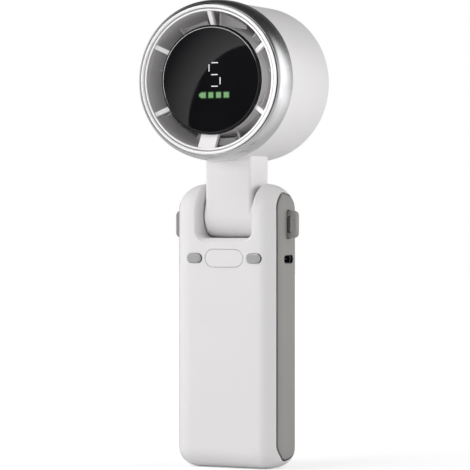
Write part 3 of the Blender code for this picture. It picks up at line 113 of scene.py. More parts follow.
LOOP_FOOT_DEPTH = 6.0 * MM
LOOP_FOOT_THICKNESS = 1.5 * MM
BUTTON_HEIGHT = 85.2 * MM
POWER_LENGTH = 16.4 * MM
POWER_HEIGHT = 6.8 * MM
SPEED_LENGTH = 6.3 * MM
SPEED_HEIGHT = 3.5 * MM
SPEED_OFFSET = 13.2 * MM
SPEED_PROUD = 0.7 * MM
BUTTON_FLANGE = 0.7 * MM
BUTTON_FLANGE_THICKNESS = 0.8 * MM
KEY_SHOULDER = 0.2 * MM
KEY_GROOVE_DEPTH = 0.08 * MM
PAD_SHIFT = 0.12 * MM
SOCKET_HEIGHT = 84.8 * MM
SOCKET_WIDTH = 8.94 * MM
SOCKET_THICKNESS = 3.26 * MM
SOCKET_LENGTH = 7.3 * MM
SOCKET_WALL = 0.35 * MM
SOCKET_TONGUE_THICKNESS = 0.7 * MM
SOCKET_TONGUE_WIDTH = 6.6 * MM
SOCKET_SETBACK = 1.3 * MM
SOCKET_MOUTH_MARGIN = 0.05 * MM
BOARD_THICKNESS = 1.2 * MM
SHELF_HALF_WIDTH = 10.0 * MM
SHELF_THICKNESS = 1.5 * MM
SHELF_REACH = 5.0 * MM
TONGUE_SPREAD = 9.0 * MM
TONGUE_WIDTH = 5.0 * MM
TONGUE_THICKNESS = 1.4 * MM
TONGUE_REACH = 4.0 * MM
TONGUE_ROOT = 5.0 * MM
SCREW_RADIUS = 0.8 * MM
SCREW_HEAD_RADIUS = 1.8 * MM
SCREW_HEAD_HEIGHT = 1.3 * MM
SCREW_LENGTH = 14.0 * MM
SCREW_SINK = 0.5 * MM
SCREW_SLOT_WIDTH = 0.5 * MM
SCREW_SLOT_DEPTH = 0.6 * MM
SCREW_BOSS_RADIUS = 2.3 * MM
DRUM_RADIUS = 31.9 * MM
DRUM_FRONT = -17.0 * MM
SPIGOT_FRONT = -25.0 * MM
SPIGOT_RADIUS = 30.3 * MM
DRUM_REAR = 24.0 * MM
DRUM_EDGE = 4.0 * MM
DRUM_BORE = 29.2 * MM
REAR_LIP_THICKNESS = 2.0 * MM
REAR_LIP_WIDTH = 1.7 * MM
POCKET_FLOOR = 8.0 * MM
POCKET_ROOF = 20.6 * MM
POCKET_HALF_WIDTH = 8.0 * MM
POCKET_FRONT_WALL = 2.0 * MM
COVER_THICKNESS = 1.6 * MM
COVER_SCREW_SPREAD = 5.2 * MM
COVER_SCREW_LENGTH = 7.0 * MM
WIRE_WAY_RADIUS = 2.2 * MM
BEZEL_RADIUS = 32.4 * MM
BEZEL_FRONT = -28.2 * MM
BEZEL_WIDEST = -17.5 * MM
RIM_INNER_RADIUS = 28.6 * MM
RIM_OUTER_RADIUS = 29.9 * MM
RIM_THICKNESS = 1.9 * MM
RIM_GROOVE = 0.55 * MM
GRILLE_RING_WIDTH = 0.9 * MM
GRILLE_FRONT = -27.6 * MM
HUB_RADIUS = 22.0 * MM
HUB_WALL = 1.4 * MM
GRILLE_HUB_FRONT = -24.0 * MM
GRILLE_HUB_REAR = -19.5 * MM
SPOKE_WIDTH = 1.9 * MM
BOTTOM_SPOKE_WIDTH = 7.6 * MM
BOTTOM_SPOKE_SHIFT = -1.3 * MM
SPOKE_DEPTH = 2.3 * MM
SPOKE_COUNT = 6
LENS_FRONT = -25.5 * MM
LENS_BEVEL_WIDTH = 0.9 * MM
LENS_BEVEL_DEPTH = 1.2 * MM
LENS_LINE = 0.2 * MM
LENS_PLUG_DEPTH = 1.7 * MM
DUCT_RADIUS = 27.6 * MM
LINER_WALL = 1.3 * MM
LINER_REAR = 19.0 * MM
STATOR_HUB_REAR = -2.0 * MM
MOTOR_FLOOR = 2.0 * MM
BEARING_BORE = 2.8 * MM
BEARING_TUBE_RADIUS = 3.9 * MM
BEARING_TUBE_REAR = 9.0 * MM
VANE_COUNT = 9
VANE_FRONT = -16.5 * MM
VANE_REAR = -4.5 * MM
VANE_THICKNESS = 0.8 * MM
VANE_SWEEP = math.radians(16.0)
BLADE_COUNT = 9
BLADE_FRONT = 0.6 * MM
BLADE_REAR = 12.0 * MM
BLADE_THICKNESS = 0.9 * MM
BLADE_SWEEP = math.radians(54.0)
BLADE_TIP_RADIUS = 27.15 * MM
IMPELLER_FRONT = -1.6 * MM
IMPELLER_REAR = 15.4 * MM
IMPELLER_RADIUS = 21.7 * MM
IMPELLER_SKIN = 1.3 * MM
IMPELLER_BORE = 1.3 * MM
BELL_SEAT_RADIUS = 13.0 * MM
BELL_FRONT = 0.4 * MM
BELL_POCKET_REAR = 10.9 * MM
REAR_GRILLE_THICKNESS = 2.4 * MM
REAR_GRILLE_RING = 2.0 * MM
REAR_GRILLE_MID_RADIUS = 17.5 * MM
REAR_GRILLE_MID_RING = 1.4 * MM
REAR_GRILLE_CAP_RADIUS = 8.0 * MM
REAR_GRILLE_CAP_DOME = 0.9 * MM
REAR_BAR_COUNT = 16
REAR_BAR_WIDTH = 1.3 * MM

# Soft edges and fineness of the visible pieces
SOFT = 0.3 * MM
FINE_SOFT = 0.15 * MM
PAD_SOFT = 0.6 * MM
SCREW_SOFT = 0.1 * MM
SOFT_STEPS = 4
CORNER_STEPS = 14
FOOT_STEPS = 14
EAR_STEPS = 28
LIP_STEPS = 10
STRIP_ARC_STEPS = 24
STRIP_COLUMNS = 28
STRIP_ROWS = 10
STADIUM_STEPS = 16
FINE_SEGMENTS = 160
ROUND_SEGMENTS = 72
SMALL_SEGMENTS = 40
BLADE_STEPS = 14
CURVE_STEPS = 24
EDGE_TURNS = [QUARTER_TURN * step / SOFT_STEPS for step in range(SOFT_STEPS + 1)]
WELD = 0.0005 * MM
HAIR = 0.01 * MM
MITRE_LIMIT = 0.3
STRAIGHT_TURN = math.radians(165.0)
FILLET_SHARE = 0.45
NOSE_SHARE = 0.12
TAIL_THINNING = 0.55
THINNEST_BLADE = 0.06 * MM


# Solids

def add_object(name, shape, place=(0, 0, 0)):
    bmesh.ops.remove_doubles(shape, verts=shape.verts, dist=WELD)
    bmesh.ops.recalc_face_normals(shape, faces=shape.faces)
    mesh = bpy.data.meshes.new(name)
    shape.to_mesh(mesh)
    shape.free()
    made = bpy.data.objects.new(name, mesh)
    bpy.context.scene.collection.objects.link(made)
    made.location = place
    return made


def change(target, operation, *shapes):
    """Cuts shapes from a piece or joins them to it, at once."""
    for shape in shapes:
        other = add_object("helper", shape, target.location)
        modifier = target.modifiers.new("solid", "BOOLEAN")
        modifier.operation = operation
        modifier.solver = "MANIFOLD"
        modifier.object = other
        bpy.context.view_layer.update()
        graph = bpy.context.evaluated_depsgraph_get()
        mesh = bpy.data.meshes.new_from_object(target.evaluated_get(graph))
        target.modifiers.clear()
        target.data = mesh
        bpy.data.objects.remove(other)


def cut(target, *shapes):
    change(target, "DIFFERENCE", *shapes)


def join(target, *shapes):
    change(target, "UNION", *shapes)


def arc(centre, radii, start, end, steps):
    turns = [start + (end - start) * step / steps for step in range(steps + 1)]
    return [(centre[0] + radii[0] * math.cos(t), centre[1] + radii[1] * math.sin(t)) for t in turns]


def rounded_rectangle(half_width, half_height, corner, steps=SOFT_STEPS):
    points = []
    for index, (side_u, side_v) in enumerate(((1, 1), (-1, 1), (-1, -1), (1, -1))):
        centre = (side_u * (half_width - corner), side_v * (half_height - corner))
        start = index * QUARTER_TURN
        points += arc(centre, (corner, corner), start, start + QUARTER_TURN, steps)
    return points


def stadium(length, height):
    radius = height / 2
    reach = length / 2 - radius
    right = arc((reach, 0), (radius, radius), -QUARTER_TURN, QUARTER_TURN, STADIUM_STEPS)
    left = arc((-reach, 0), (radius, radius), QUARTER_TURN, 3 * QUARTER_TURN, STADIUM_STEPS)
    return right + left


def circle(radius, segments):
    return arc((0, 0), (radius, radius), 0, FULL_TURN, segments)[:-1]


def shifted(points, across, along):
    return [(u + across, v + along) for u, v in points]


def box_outline(left, right, low, high):
    return [(left, low), (right, low), (right, high), (left, high)]


def placed(axis, point, depth):
    u, v = point
    return {"X": (depth, u, v), "Y": (u, depth, v), "Z": (u, v, depth)}[axis]


def lofted(rings):
    shape = bmesh.new()
    rows = [[shape.verts.new(point) for point in ring] for ring in rings]
    for lower, upper in zip(rows, rows[1:]):
        for index in range(len(lower)):
            following = (index + 1) % len(lower)
            shape.faces.new((lower[index], lower[following], upper[following], upper[index]))
    shape.faces.new(rows[0])
    shape.faces.new(rows[-1])
    return shape


def stacked(axis, rings):
    """A solid through (outline, depth) pairs along the named axis."""
    return lofted([[placed(axis, point, depth) for point in ring] for ring, depth in rings])


def prism(axis, outline, start, end):
    return stacked(axis, [(outline, start), (outline, end)])


def signed_area(points):
    pairs = zip(points, points[1:] + points[:1])
    return sum(u0 * v1 - u1 * v0 for (u0, v0), (u1, v1) in pairs) / 2


def inset(points, distance):
    """A closed outline moved inwards by a distance, or outwards by a negative one."""
    inward = 1 if signed_area(points) > 0 else -1
    corners = []
    for index, (u, v) in enumerate(points):
        before = Vector((u, v)) - Vector(points[index - 1])
        after = Vector(points[(index + 1) % len(points)]) - Vector((u, v))
        normals = [Vector((-e.y, e.x)).normalized() * inward for e in (before, after) if e.length > 0]
        middle = sum(normals, Vector((0, 0))).normalized()
        reach = distance / max(middle.dot(normals[0]), MITRE_LIMIT)
        corners.append((u + middle.x * reach, v + middle.y * reach))
    return corners


def filleted(points, radius):
    """A closed outline with rounded corners, apart from those on the axis.

    A point's third number is its corner's own radius.
    """
    rounded = []
    for index, point in enumerate(points):
        here = Vector(point[:2])
        back = Vector(points[index - 1][:2]) - here
        ahead = Vector(points[(index + 1) % len(points)][:2]) - here
        wanted = point[2] if len(point) > 2 else radius
        sharp = wanted == 0 or here.x == 0 or back.length == 0 or ahead.length == 0
        if sharp or back.angle(ahead) > STRAIGHT_TURN:
            rounded.append((here.x, here.y))
            continue
        room = wanted / math.tan(back.angle(ahead) / 2)
        reach = min(room, FILLET_SHARE * back.length, FILLET_SHARE * ahead.length)
        first = here + back.normalized() * reach
        last = here + ahead.normalized() * reach
        for step in range(SOFT_STEPS + 1):
            share = step / SOFT_STEPS
            between = first.lerp(here, share).lerp(here.lerp(last, share), share)
            rounded.append((between.x, between.y))
    return rounded


def edge_rings(outline, face, way, edge):
    """(outline, depth) pairs of a rounded edge, from a bar's end face inwards."""
    return [(inset(outline, edge * (1 - math.sin(turn))), face + way * edge * (1 - math.cos(turn)))
            for turn in EDGE_TURNS]


def soft_prism(axis, outline, start, end, edge, far_edge=None):
    """A bar whose two ends have rounded edges. The far edge can differ, and 0 leaves it sharp."""
    way = 1 if end > start else -1
    far_edge = edge if far_edge is None else far_edge
    far = edge_rings(outline, end, -way, far_edge)[::-1] if far_edge else [(outline, end)]
    return stacked(axis, edge_rings(outline, start, way, edge) + far)


def flared_prism(axis, outline, inner, mouth, edge):
    """A cutter from inside a wall out through its face, which leaves a rounded edge at the mouth."""
    way = 1 if mouth > inner else -1
    flare = [(inset(outline, -edge * (1 - math.cos(turn))), mouth - way * edge * (1 - math.sin(turn)))
             for turn in EDGE_TURNS]
    return stacked(axis, [(outline, inner), *flare, (inset(outline, -edge), mouth + way * OVERRUN)])


def turned(axis, outline, segments=FINE_SEGMENTS):
    """A closed (radius, along) outline turned all the way round the named axis."""
    shape = bmesh.new()
    columns = []
    for radius, along in outline:
        points = circle(radius, segments) if radius else [(0, 0)]
        columns.append([shape.verts.new(placed(axis, point, along)) for point in points])
    for first, second in zip(columns, columns[1:] + columns[:1]):
        if len(first) == 1 and len(second) == 1:
            continue
        for index in range(segments):
            following = (index + 1) % segments
            near = [first[0]] if len(first) == 1 else [first[index], first[following]]
            far = [second[0]] if len(second) == 1 else [second[following], second[index]]
            shape.faces.new(near + far)
    return shape


def tube(axis, inner, outer, start, end, segments=FINE_SEGMENTS, edge=0):
    outline = [(inner, start), (outer, start), (outer, end), (inner, end)]
    return turned(axis, filleted(outline, edge) if edge else outline, segments)


def rod(axis, radius, start, end, segments=ROUND_SEGMENTS, edge=0):
    return tube(axis, 0, radius, start, end, segments, edge)


def moved(shape, offset):
    bmesh.ops.translate(shape, verts=shape.verts, vec=offset)
    return shape


def swept_blade(inner, outer, front, rear, sweep, thickness, turn):
    """A curved blade with a rounded nose and a thin tail, whose chord bends round the fan's axis."""
    rings = []
    for radius in (inner, (inner + outer) / 2, outer):
        ahead = []
        behind = []
        for step in range(BLADE_STEPS + 1):
            share = (1 - math.cos(HALF_TURN * step / BLADE_STEPS)) / 2
            bend = turn + sweep * share * share
            nose = math.sqrt(max(1 - (1 - min(share / NOSE_SHARE, 1)) ** 2, 0.0))
            form = nose * (1 - TAIL_THINNING * share)
            half_angle = max(thickness * form, THINNEST_BLADE) / (2 * radius)
            along = front + (rear - front) * share
            ahead.append((bend + half_angle, along))
            behind.append((bend - half_angle, along))
        ring = ahead + behind[::-1]
        rings.append([(radius * math.cos(t), along, radius * math.sin(t)) for t, along in ring])
    return lofted(rings)


def radial_bar(turn, stations, width, depth, shift=0):
    """A bar that runs out from the fan's axis through (radius, middle along the axis) pairs."""
    rings = []
    for radius, middle in stations:
        outline = shifted(rounded_rectangle(width / 2, depth / 2, SOFT), shift, middle)
        rings.append([(radius * math.cos(turn) - across * math.sin(turn), along,
                       radius * math.sin(turn) + across * math.cos(turn)) for across, along in outline])
    return lofted(rings)


def screw_hole(piece, x, z, start, end, sink_floor=None):
    """A hole for a screw's thread, with a sink for its head where the sink's floor is given."""
    cut(piece, moved(rod("Y", SCREW_RADIUS + FIT, start, end, SMALL_SEGMENTS), (x, 0, z)))
    if sink_floor is not None:
        outline = circle(SCREW_HEAD_RADIUS + FIT, ROUND_SEGMENTS)
        cut(piece, moved(flared_prism("Y", outline, sink_floor, end, FINE_SOFT), (x, 0, z)))


# Handle

def drawn_in(radius, over):
    """How far a rounded corner draws in, at a distance past the place where it starts."""
    return radius - math.sqrt(max(radius ** 2 - over ** 2, 0)) if over > 0 else 0


def handle_section(height, inset_by):
    """Half-width and half-depth of the handle at a height, for a skin set in by a distance."""
    half_depth = HANDLE_FACE - inset_by
    foot_round = FOOT_ROUND - inset_by
    foot_corner = FOOT_CORNER - inset_by
    ear_start = HINGE_HEIGHT + HANDLE_FACE - EAR_CORNER
    wide = HANDLE_SIDE - inset_by
    wide -= drawn_in(foot_corner, inset_by + foot_corner - height)
    wide -= drawn_in(EAR_CORNER - inset_by, height - ear_start)
    if height > HINGE_HEIGHT:
        return wide, math.sqrt(max(half_depth ** 2 - (height - HINGE_HEIGHT) ** 2, 0))
    return wide, half_depth - drawn_in(foot_round, inset_by + foot_round - height)


def handle_corner(deep, inset_by):
    return (PLAN_CORNER - inset_by) * deep / (HANDLE_FACE - inset_by)


def handle_form(inset_by):
    """The outer form of the handle, ears included, set in by a distance."""
    foot_round = FOOT_ROUND - inset_by
    half_depth = HANDLE_FACE - inset_by
    heights = [inset_by + foot_round * (1 - math.cos(QUARTER_TURN * step / FOOT_STEPS))
               for step in range(FOOT_STEPS + 1)]
    heights += [HINGE_HEIGHT + half_depth * math.sin(EAR_TIP_TURN * step / EAR_STEPS)
                for step in range(EAR_STEPS + 1)]
    rings = []
    for height in heights:
        wide, deep = handle_section(height, inset_by)
        rings.append((rounded_rectangle(wide, deep, handle_corner(deep, inset_by), CORNER_STEPS), height))
    return stacked("Z", rings)


def side_skin(side, y, z, inset_by):
    """A point on the side of the handle, at a distance under its skin."""
    wide, deep = handle_section(z, inset_by)
    corner = handle_corner(deep, inset_by)
    over = max(abs(y) - (deep - corner), 0)
    reach = wide - corner + math.sqrt(max(corner ** 2 - over ** 2, 0))
    return (side * reach, y, z)


def strip_rows(margin):
    """(height, half-width) rows of the strip's outline, grown or shrunk by the margin."""
    low = STRIP_FOOT_HEIGHT + STRIP_END_RISE
    high = STRIP_TIP_HEIGHT - STRIP_END_RISE
    half = STRIP_WIDTH / 2 + margin
    rise = STRIP_END_RISE + margin
    rows = []
    for step in range(STRIP_ARC_STEPS + 1):
        turn = QUARTER_TURN * step / STRIP_ARC_STEPS
        rows.append((low - rise * math.cos(turn), half * math.sin(turn)))
    for step in range(1, STRIP_ROWS):
        rows.append((low + (high - low) * step / STRIP_ROWS, half))
    for step in range(STRIP_ARC_STEPS + 1):
        turn = QUARTER_TURN * (1 - step / STRIP_ARC_STEPS)
        rows.append((high + rise * math.cos(turn), half * math.sin(turn)))
    return rows


def skin_solid(side, layers):
    """A slab that follows the handle's side, through (margin, depth under the skin) layers from outside."""
    shape = bmesh.new()
    across = [2 * column / STRIP_COLUMNS - 1 for column in range(STRIP_COLUMNS + 1)]
    edges = []
    faces = []
    for index, (margin, depth) in enumerate(layers):
        grid = []
        whole = index in (0, len(layers) - 1)
        for z, half in strip_rows(margin):
            shares = across if whole else (-1, 1)
            grid.append([shape.verts.new(side_skin(side, half * share, z, depth)) for share in shares])
        if whole:
            for lower, upper in zip(grid, grid[1:]):
                for column in range(len(lower) - 1):
                    faces.append((lower[column], lower[column + 1], upper[column + 1], upper[column]))
        edges.append([row[-1] for row in grid] + [row[0] for row in reversed(grid)])
    for outer, inner in zip(edges, edges[1:]):
        for index in range(len(outer)):
            following = (index + 1) % len(outer)
            faces.append((outer[index], outer[following], inner[following], inner[index]))
    for corners in faces:
        shape.faces.new(corners)
    return shape


def edge_layers(margin, edge, way=-1):
    """Layers that round a slab's outer edge (way -1) or flare a pocket's mouth (way 1)."""
    return [(margin + way * edge * (1 - math.sin(turn)), edge * (1 - math.cos(turn))) for turn in EDGE_TURNS]


def lip_stations(side):
    """(y, extra width, drop, corner) of the gap, from its middle out through the flare of its lip."""
    stations = [(0, 0, 0, LIP_INNER_CORNER)]
    for step in range(LIP_STEPS + 1):
        turn = LIP_TURN * step / LIP_STEPS
        growth = (1 - math.cos(turn)) / (1 - math.cos(LIP_TURN))
        y = HANDLE_FACE - LIP_DEPTH + LIP_DEPTH * math.sin(turn) / math.sin(LIP_TURN)
        stations.append((y, LIP_SPREAD * growth, LIP_DROP * growth, LIP_INNER_CORNER + LIP_CORNER * growth))
    stations.append((HANDLE_FACE + OVERRUN, LIP_SPREAD, LIP_DROP, LIP_INNER_CORNER + LIP_CORNER))
    return [(side * y, spread, drop, corner) for y, spread, drop, corner in stations]


def gap_cutter(side, floor):
    """The gap between the ears above a floor, with its lips flared and dropped towards one face."""
    rings = []
    roof = HINGE_HEIGHT + HANDLE_FACE
    for y, spread, drop, corner in lip_stations(side):
        wide = GAP_HALF_WIDTH + spread
        low = floor - drop + corner
        left = arc((-wide + corner, low), (corner, corner), HALF_TURN, 3 * QUARTER_TURN, LIP_STEPS)
        right = arc((wide - corner, low), (corner, corner), -QUARTER_TURN, 0, LIP_STEPS)
        rings.append(([(-wide, roof), *left, *right, (wide, roof)], y))
    return stacked("Y", rings)


def ear_gap_cutter():
    """The gap between the ears above the hinge's axis, with the same lips turned over their round tops."""
    right = [(GAP_HALF_WIDTH, BARREL_RADIUS / 2)]
    right += [(GAP_HALF_WIDTH + spread, y) for y, spread, _, _ in lip_stations(1)[1:]]
    profile = right + [(-across, out) for across, out in reversed(right)]
    rings = []
    for step in range(2 * EAR_STEPS + 1):
        turn = HALF_TURN * step / (2 * EAR_STEPS)
        rings.append([(x, out * math.cos(turn), HINGE_HEIGHT + out * math.sin(turn)) for x, out in profile])
    return lofted(rings)


def loop_way(side):
    outline = box_outline(-LOOP_THICKNESS / 2 - FIT, LOOP_THICKNESS / 2 + FIT,
                          LOOP_HEIGHT - LOOP_LENGTH / 2 - FIT, LOOP_HEIGHT + LOOP_LENGTH / 2 + FIT)
    return prism("X", outline, side * SIDE_CUT_START, side * SIDE_CUT_END)


def socket_outline(margin):
    outline = stadium(SOCKET_WIDTH + 2 * margin, SOCKET_THICKNESS + 2 * margin)
    return shifted(outline, 0, SOCKET_HEIGHT)


def button_outline(length, height, offset):
    return shifted(stadium(length, height), offset, BUTTON_HEIGHT)


def case_screw_places():
    low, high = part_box("case_screw_right")
    x = (low.x + high.x) / 2
    z = (low.z + high.z) / 2
    return [(-x, z), (x, z)]


def hollow_room():
    """The room inside the casing, with the hinge's block left standing."""
    room = add_object("room", handle_form(HANDLE_WALL))
    half = GAP_HALF_WIDTH + EAR_INNER_WALL
    block_outline = box_outline(-half, half, -HANDLE_DEPTH, HANDLE_DEPTH)
    cut(room, prism("Z", block_outline, FLOOR_HEIGHT - FLOOR_WALL, HINGE_HEIGHT + HANDLE_DEPTH))
    shape = bmesh.new()
    shape.from_mesh(room.data)
    bpy.data.objects.remove(room)
    return shape


def handle_half(name, side):
    """What the two casing halves share. Side is -1 for the front half and 1 for the rear."""
    shell = add_object(name, handle_form(0))
    cut(shell, hollow_room())
    wall_middle = HANDLE_FACE - HANDLE_WALL / 2
    for x, z in case_screw_places():
        boss = rod("Y", SCREW_BOSS_RADIUS, SHUT_PLANE, side * wall_middle, SMALL_SEGMENTS)
        join(shell, moved(boss, (x, 0, z)))
    start = GAP_HALF_WIDTH + EAR_INNER_WALL - MERGE
    at_hinge = (0, 0, HINGE_HEIGHT)
    for way in (-1, 1):
        join(shell, moved(rod("X", SLEEVE_BOSS_RADIUS, way * start, way * SLEEVE_BOSS_END), at_hinge))
    trough = rod("X", TROUGH_RADIUS, -GAP_HALF_WIDTH, GAP_HALF_WIDTH, FINE_SEGMENTS)
    bore = rod("X", SLEEVE_RADIUS + FIT, -SLEEVE_BOSS_END - FIT, SLEEVE_BOSS_END + FIT)
    cut(shell, ear_gap_cutter(), moved(trough, at_hinge), moved(bore, at_hinge))
    for way in (-1, 1):
        mouth = [(SHUT_LINE + SOFT, -OVERRUN)] + edge_layers(SHUT_LINE, SOFT, way=1)
        cut(shell, skin_solid(way, mouth + [(SHUT_LINE, STRIP_THICKNESS + FIT)]), loop_way(way))
    cut(shell, prism("X", socket_outline(SOCKET_MOUTH_MARGIN + FIT), SIDE_CUT_START, SIDE_CUT_END))
    outline = box_outline(-SIDE_CUT_END, SIDE_CUT_END, -OVERRUN, HINGE_HEIGHT + HANDLE_DEPTH)
    cut(shell, prism("Y", outline, SHUT_PLANE + side * FIT / 2, -side * HANDLE_DEPTH))
    return shell


def front_casing():
    shell = handle_half("handle_front_casing", -1)
    cut(shell, gap_cutter(-1, FLOOR_HEIGHT))
    front = -HANDLE_FACE
    for length, height, offset in (
        (POWER_LENGTH, POWER_HEIGHT, 0),
        (SPEED_LENGTH, SPEED_HEIGHT, -SPEED_OFFSET),
        (SPEED_LENGTH, SPEED_HEIGHT, SPEED_OFFSET),
    ):
        outline = button_outline(length + 2 * FIT, height + 2 * FIT, offset)
        cut(shell, flared_prism("Y", outline, front + HANDLE_WALL + OVERRUN, front, FINE_SOFT))
        margin = 2 * (BUTTON_FLANGE + FIT)
        outline = button_outline(length + margin, height + margin, offset)
        cut(shell, prism("Y", outline, front + HANDLE_WALL, front + 2 * HANDLE_WALL))
    for x, z in case_screw_places():
        screw_hole(shell, x, z, front + HANDLE_WALL, SHUT_PLANE + OVERRUN)
    return shell


def rear_casing():
    """The rear half, with the shelf under the charge board and two tongues at the foot."""
    shell = handle_half("handle_rear_casing", 1)
    shelf_top = SOCKET_HEIGHT - SOCKET_THICKNESS / 2 - FIT - BOARD_THICKNESS - FIT
    outline = box_outline(-SHELF_HALF_WIDTH, SHELF_HALF_WIDTH, shelf_top - SHELF_THICKNESS, shelf_top)
    wall_face = HANDLE_FACE - HANDLE_WALL
    join(shell, prism("Y", outline, wall_face - SHELF_REACH, wall_face + MERGE))
    low = HANDLE_WALL + FIT
    rear_edge = SHUT_PLANE + TONGUE_ROOT
    for side in (-1, 1):
        left = side * TONGUE_SPREAD - TONGUE_WIDTH / 2
        right = side * TONGUE_SPREAD + TONGUE_WIDTH / 2
        tongue = box_outline(left, right, SHUT_PLANE - TONGUE_REACH, rear_edge)
        root = box_outline(left, right, SHUT_PLANE + FIT, rear_edge)
        join(shell, prism("Z", tongue, low, low + TONGUE_THICKNESS))
        join(shell, prism("Z", root, HANDLE_WALL - MERGE, low + MERGE))
    cut(shell, gap_cutter(1, HINGE_HEIGHT - REAR_LIP_BELOW_AXIS))
    sink = SCREW_SINK + SCREW_HEAD_HEIGHT + FIT
    for x, z in case_screw_places():
        screw_hole(shell, x, z, -OVERRUN, HANDLE_FACE, HANDLE_FACE - sink)
    return shell


def side_strip(side, word):
    layers = edge_layers(0, FINE_SOFT) + [(0, STRIP_THICKNESS)]
    strip = add_object(f"strip_{word}", skin_solid(side, layers))
    cut(strip, loop_way(side))
    if side == 1:
        outline = socket_outline(SOCKET_MOUTH_MARGIN)
        cut(strip, flared_prism("X", outline, SIDE_CUT_START, HANDLE_SIDE, FINE_SOFT))
    return strip


def strap_eye(side, word):
    """The flat eye for a strap, rounded all over, on its foot inside the casing."""
    foot_outer = HANDLE_SIDE - HANDLE_WALL - FIT
    root = side * (foot_outer - MERGE)
    half = LOOP_LENGTH / 2
    radii = (side * LOOP_CORNER, LOOP_CORNER)
    corner = side * (HANDLE_SIDE + LOOP_REACH - LOOP_CORNER)
    low = arc((corner, LOOP_CORNER - half), radii, -QUARTER_TURN, 0, STADIUM_STEPS)
    high = arc((corner, half - LOOP_CORNER), radii, 0, QUARTER_TURN, STADIUM_STEPS)
    outline = [(root, -half), *low, *high, (root, half)]
    plate = soft_prism("Y", outline, -LOOP_THICKNESS / 2, LOOP_THICKNESS / 2, 2 * SOFT)
    at_loop = (0, 0, LOOP_HEIGHT)
    loop = add_object(f"strap_eye_{word}", moved(plate, at_loop))
    foot_outline = box_outline(-LOOP_FOOT_DEPTH / 2, LOOP_FOOT_DEPTH / 2,
                               -LOOP_FOOT_LENGTH / 2, LOOP_FOOT_LENGTH / 2)
    foot = prism("X", foot_outline, side * (foot_outer - LOOP_FOOT_THICKNESS), side * foot_outer)
    join(loop, moved(foot, at_loop))
    outline = rounded_rectangle(LOOP_SLOT_WIDTH / 2, half - LOOP_BAR, LOOP_SLOT_CORNER)
    outline = shifted(outline, side * (HANDLE_SIDE + LOOP_SLOT_WIDTH / 2), 0)
    for way in (-1, 1):
        cut(loop, moved(flared_prism("Y", outline, -way * MERGE, way * LOOP_THICKNESS / 2, SOFT), at_loop))
    return loop


def key(name, length, height, offset, proud, edge, shift=0):
    """A key with a rounded face, a shoulder that leaves a shallow groove round it, and a flange inside.

    The shift moves the face to the left and takes the shoulder away at the right, for a deep gap there.
    """
    cap_rear = -HANDLE_FACE + HANDLE_WALL + FIT
    outline = button_outline(length, height, offset - shift)
    made = add_object(name, soft_prism("Y", outline, -HANDLE_FACE - proud, cap_rear + MERGE, edge, 0))
    outline = button_outline(length + 2 * (KEY_SHOULDER - shift), height + 2 * KEY_SHOULDER, offset - shift)
    shoulder_face = KEY_GROOVE_DEPTH - HANDLE_FACE
    join(made, soft_prism("Y", outline, shoulder_face, cap_rear + MERGE / 2, KEY_SHOULDER / 2, 0))
    outline = button_outline(length + 2 * BUTTON_FLANGE, height + 2 * BUTTON_FLANGE, offset)
    join(made, prism("Y", outline, cap_rear, cap_rear + BUTTON_FLANGE_THICKNESS))
    return made


def charging_socket():
    """The socket's can with its rolled mouth and its tongue."""
    mouth = HANDLE_SIDE - SOCKET_SETBACK
    back = mouth - SOCKET_LENGTH
    at_socket = (0, 0, SOCKET_HEIGHT)
    can = soft_prism("X", stadium(SOCKET_WIDTH, SOCKET_THICKNESS), mouth, back, SOCKET_WALL / 3)
    port = add_object("charging_socket", moved(can, at_socket))
    outline = stadium(SOCKET_WIDTH - 2 * SOCKET_WALL, SOCKET_THICKNESS - 2 * SOCKET_WALL)
    cut(port, moved(flared_prism("X", outline, back + 2 * SOCKET_WALL, mouth, SOCKET_WALL / 3), at_socket))
    outline = rounded_rectangle(SOCKET_TONGUE_WIDTH / 2, SOCKET_TONGUE_THICKNESS / 2, FINE_SOFT)
    tongue = soft_prism("X", outline, mouth - 2 * SOCKET_WALL, back + SOCKET_WALL, FINE_SOFT, 0)
    join(port, moved(tongue, at_socket))
    return port


def slotted_screw(name, place, length, origin=(0, 0, 0)):
    """A screw whose head's underside lies at the place, measured from the origin."""
    outline = [
        (0, -length),
        (SCREW_RADIUS / 2, -length),
        (SCREW_RADIUS, SCREW_RADIUS - length),
        (SCREW_RADIUS, 0),
        (SCREW_HEAD_RADIUS, 0),
        (SCREW_HEAD_RADIUS, SCREW_HEAD_HEIGHT, SCREW_HEAD_HEIGHT / 2),
        (0, SCREW_HEAD_HEIGHT),
    ]
    screw = moved(turned("Y", filleted(outline, SCREW_SOFT), SMALL_SEGMENTS), place)
    made = add_object(name, screw, origin)
    half_slot = SCREW_SLOT_WIDTH / 2
    outline = box_outline(-SCREW_HEAD_RADIUS, SCREW_HEAD_RADIUS, -half_slot, half_slot)
    slot = prism("Y", outline, SCREW_HEAD_HEIGHT - SCREW_SLOT_DEPTH, SCREW_HEAD_HEIGHT + OVERRUN)
    cut(made, moved(slot, place))
    return made


# Head, round the fan's axis

AT_FAN = (0, 0, FAN_HEIGHT)
AT_HINGE = (0, 0, -HEAD_RISE)
COVER_SEAT = NECK_DEPTH / 2 - COVER_THICKNESS / 2


def cover_screw_places():
    height = (POCKET_FLOOR + POCKET_ROOF) / 2 - HEAD_RISE
    return [(side * COVER_SCREW_SPREAD, height) for side in (-1, 1)]


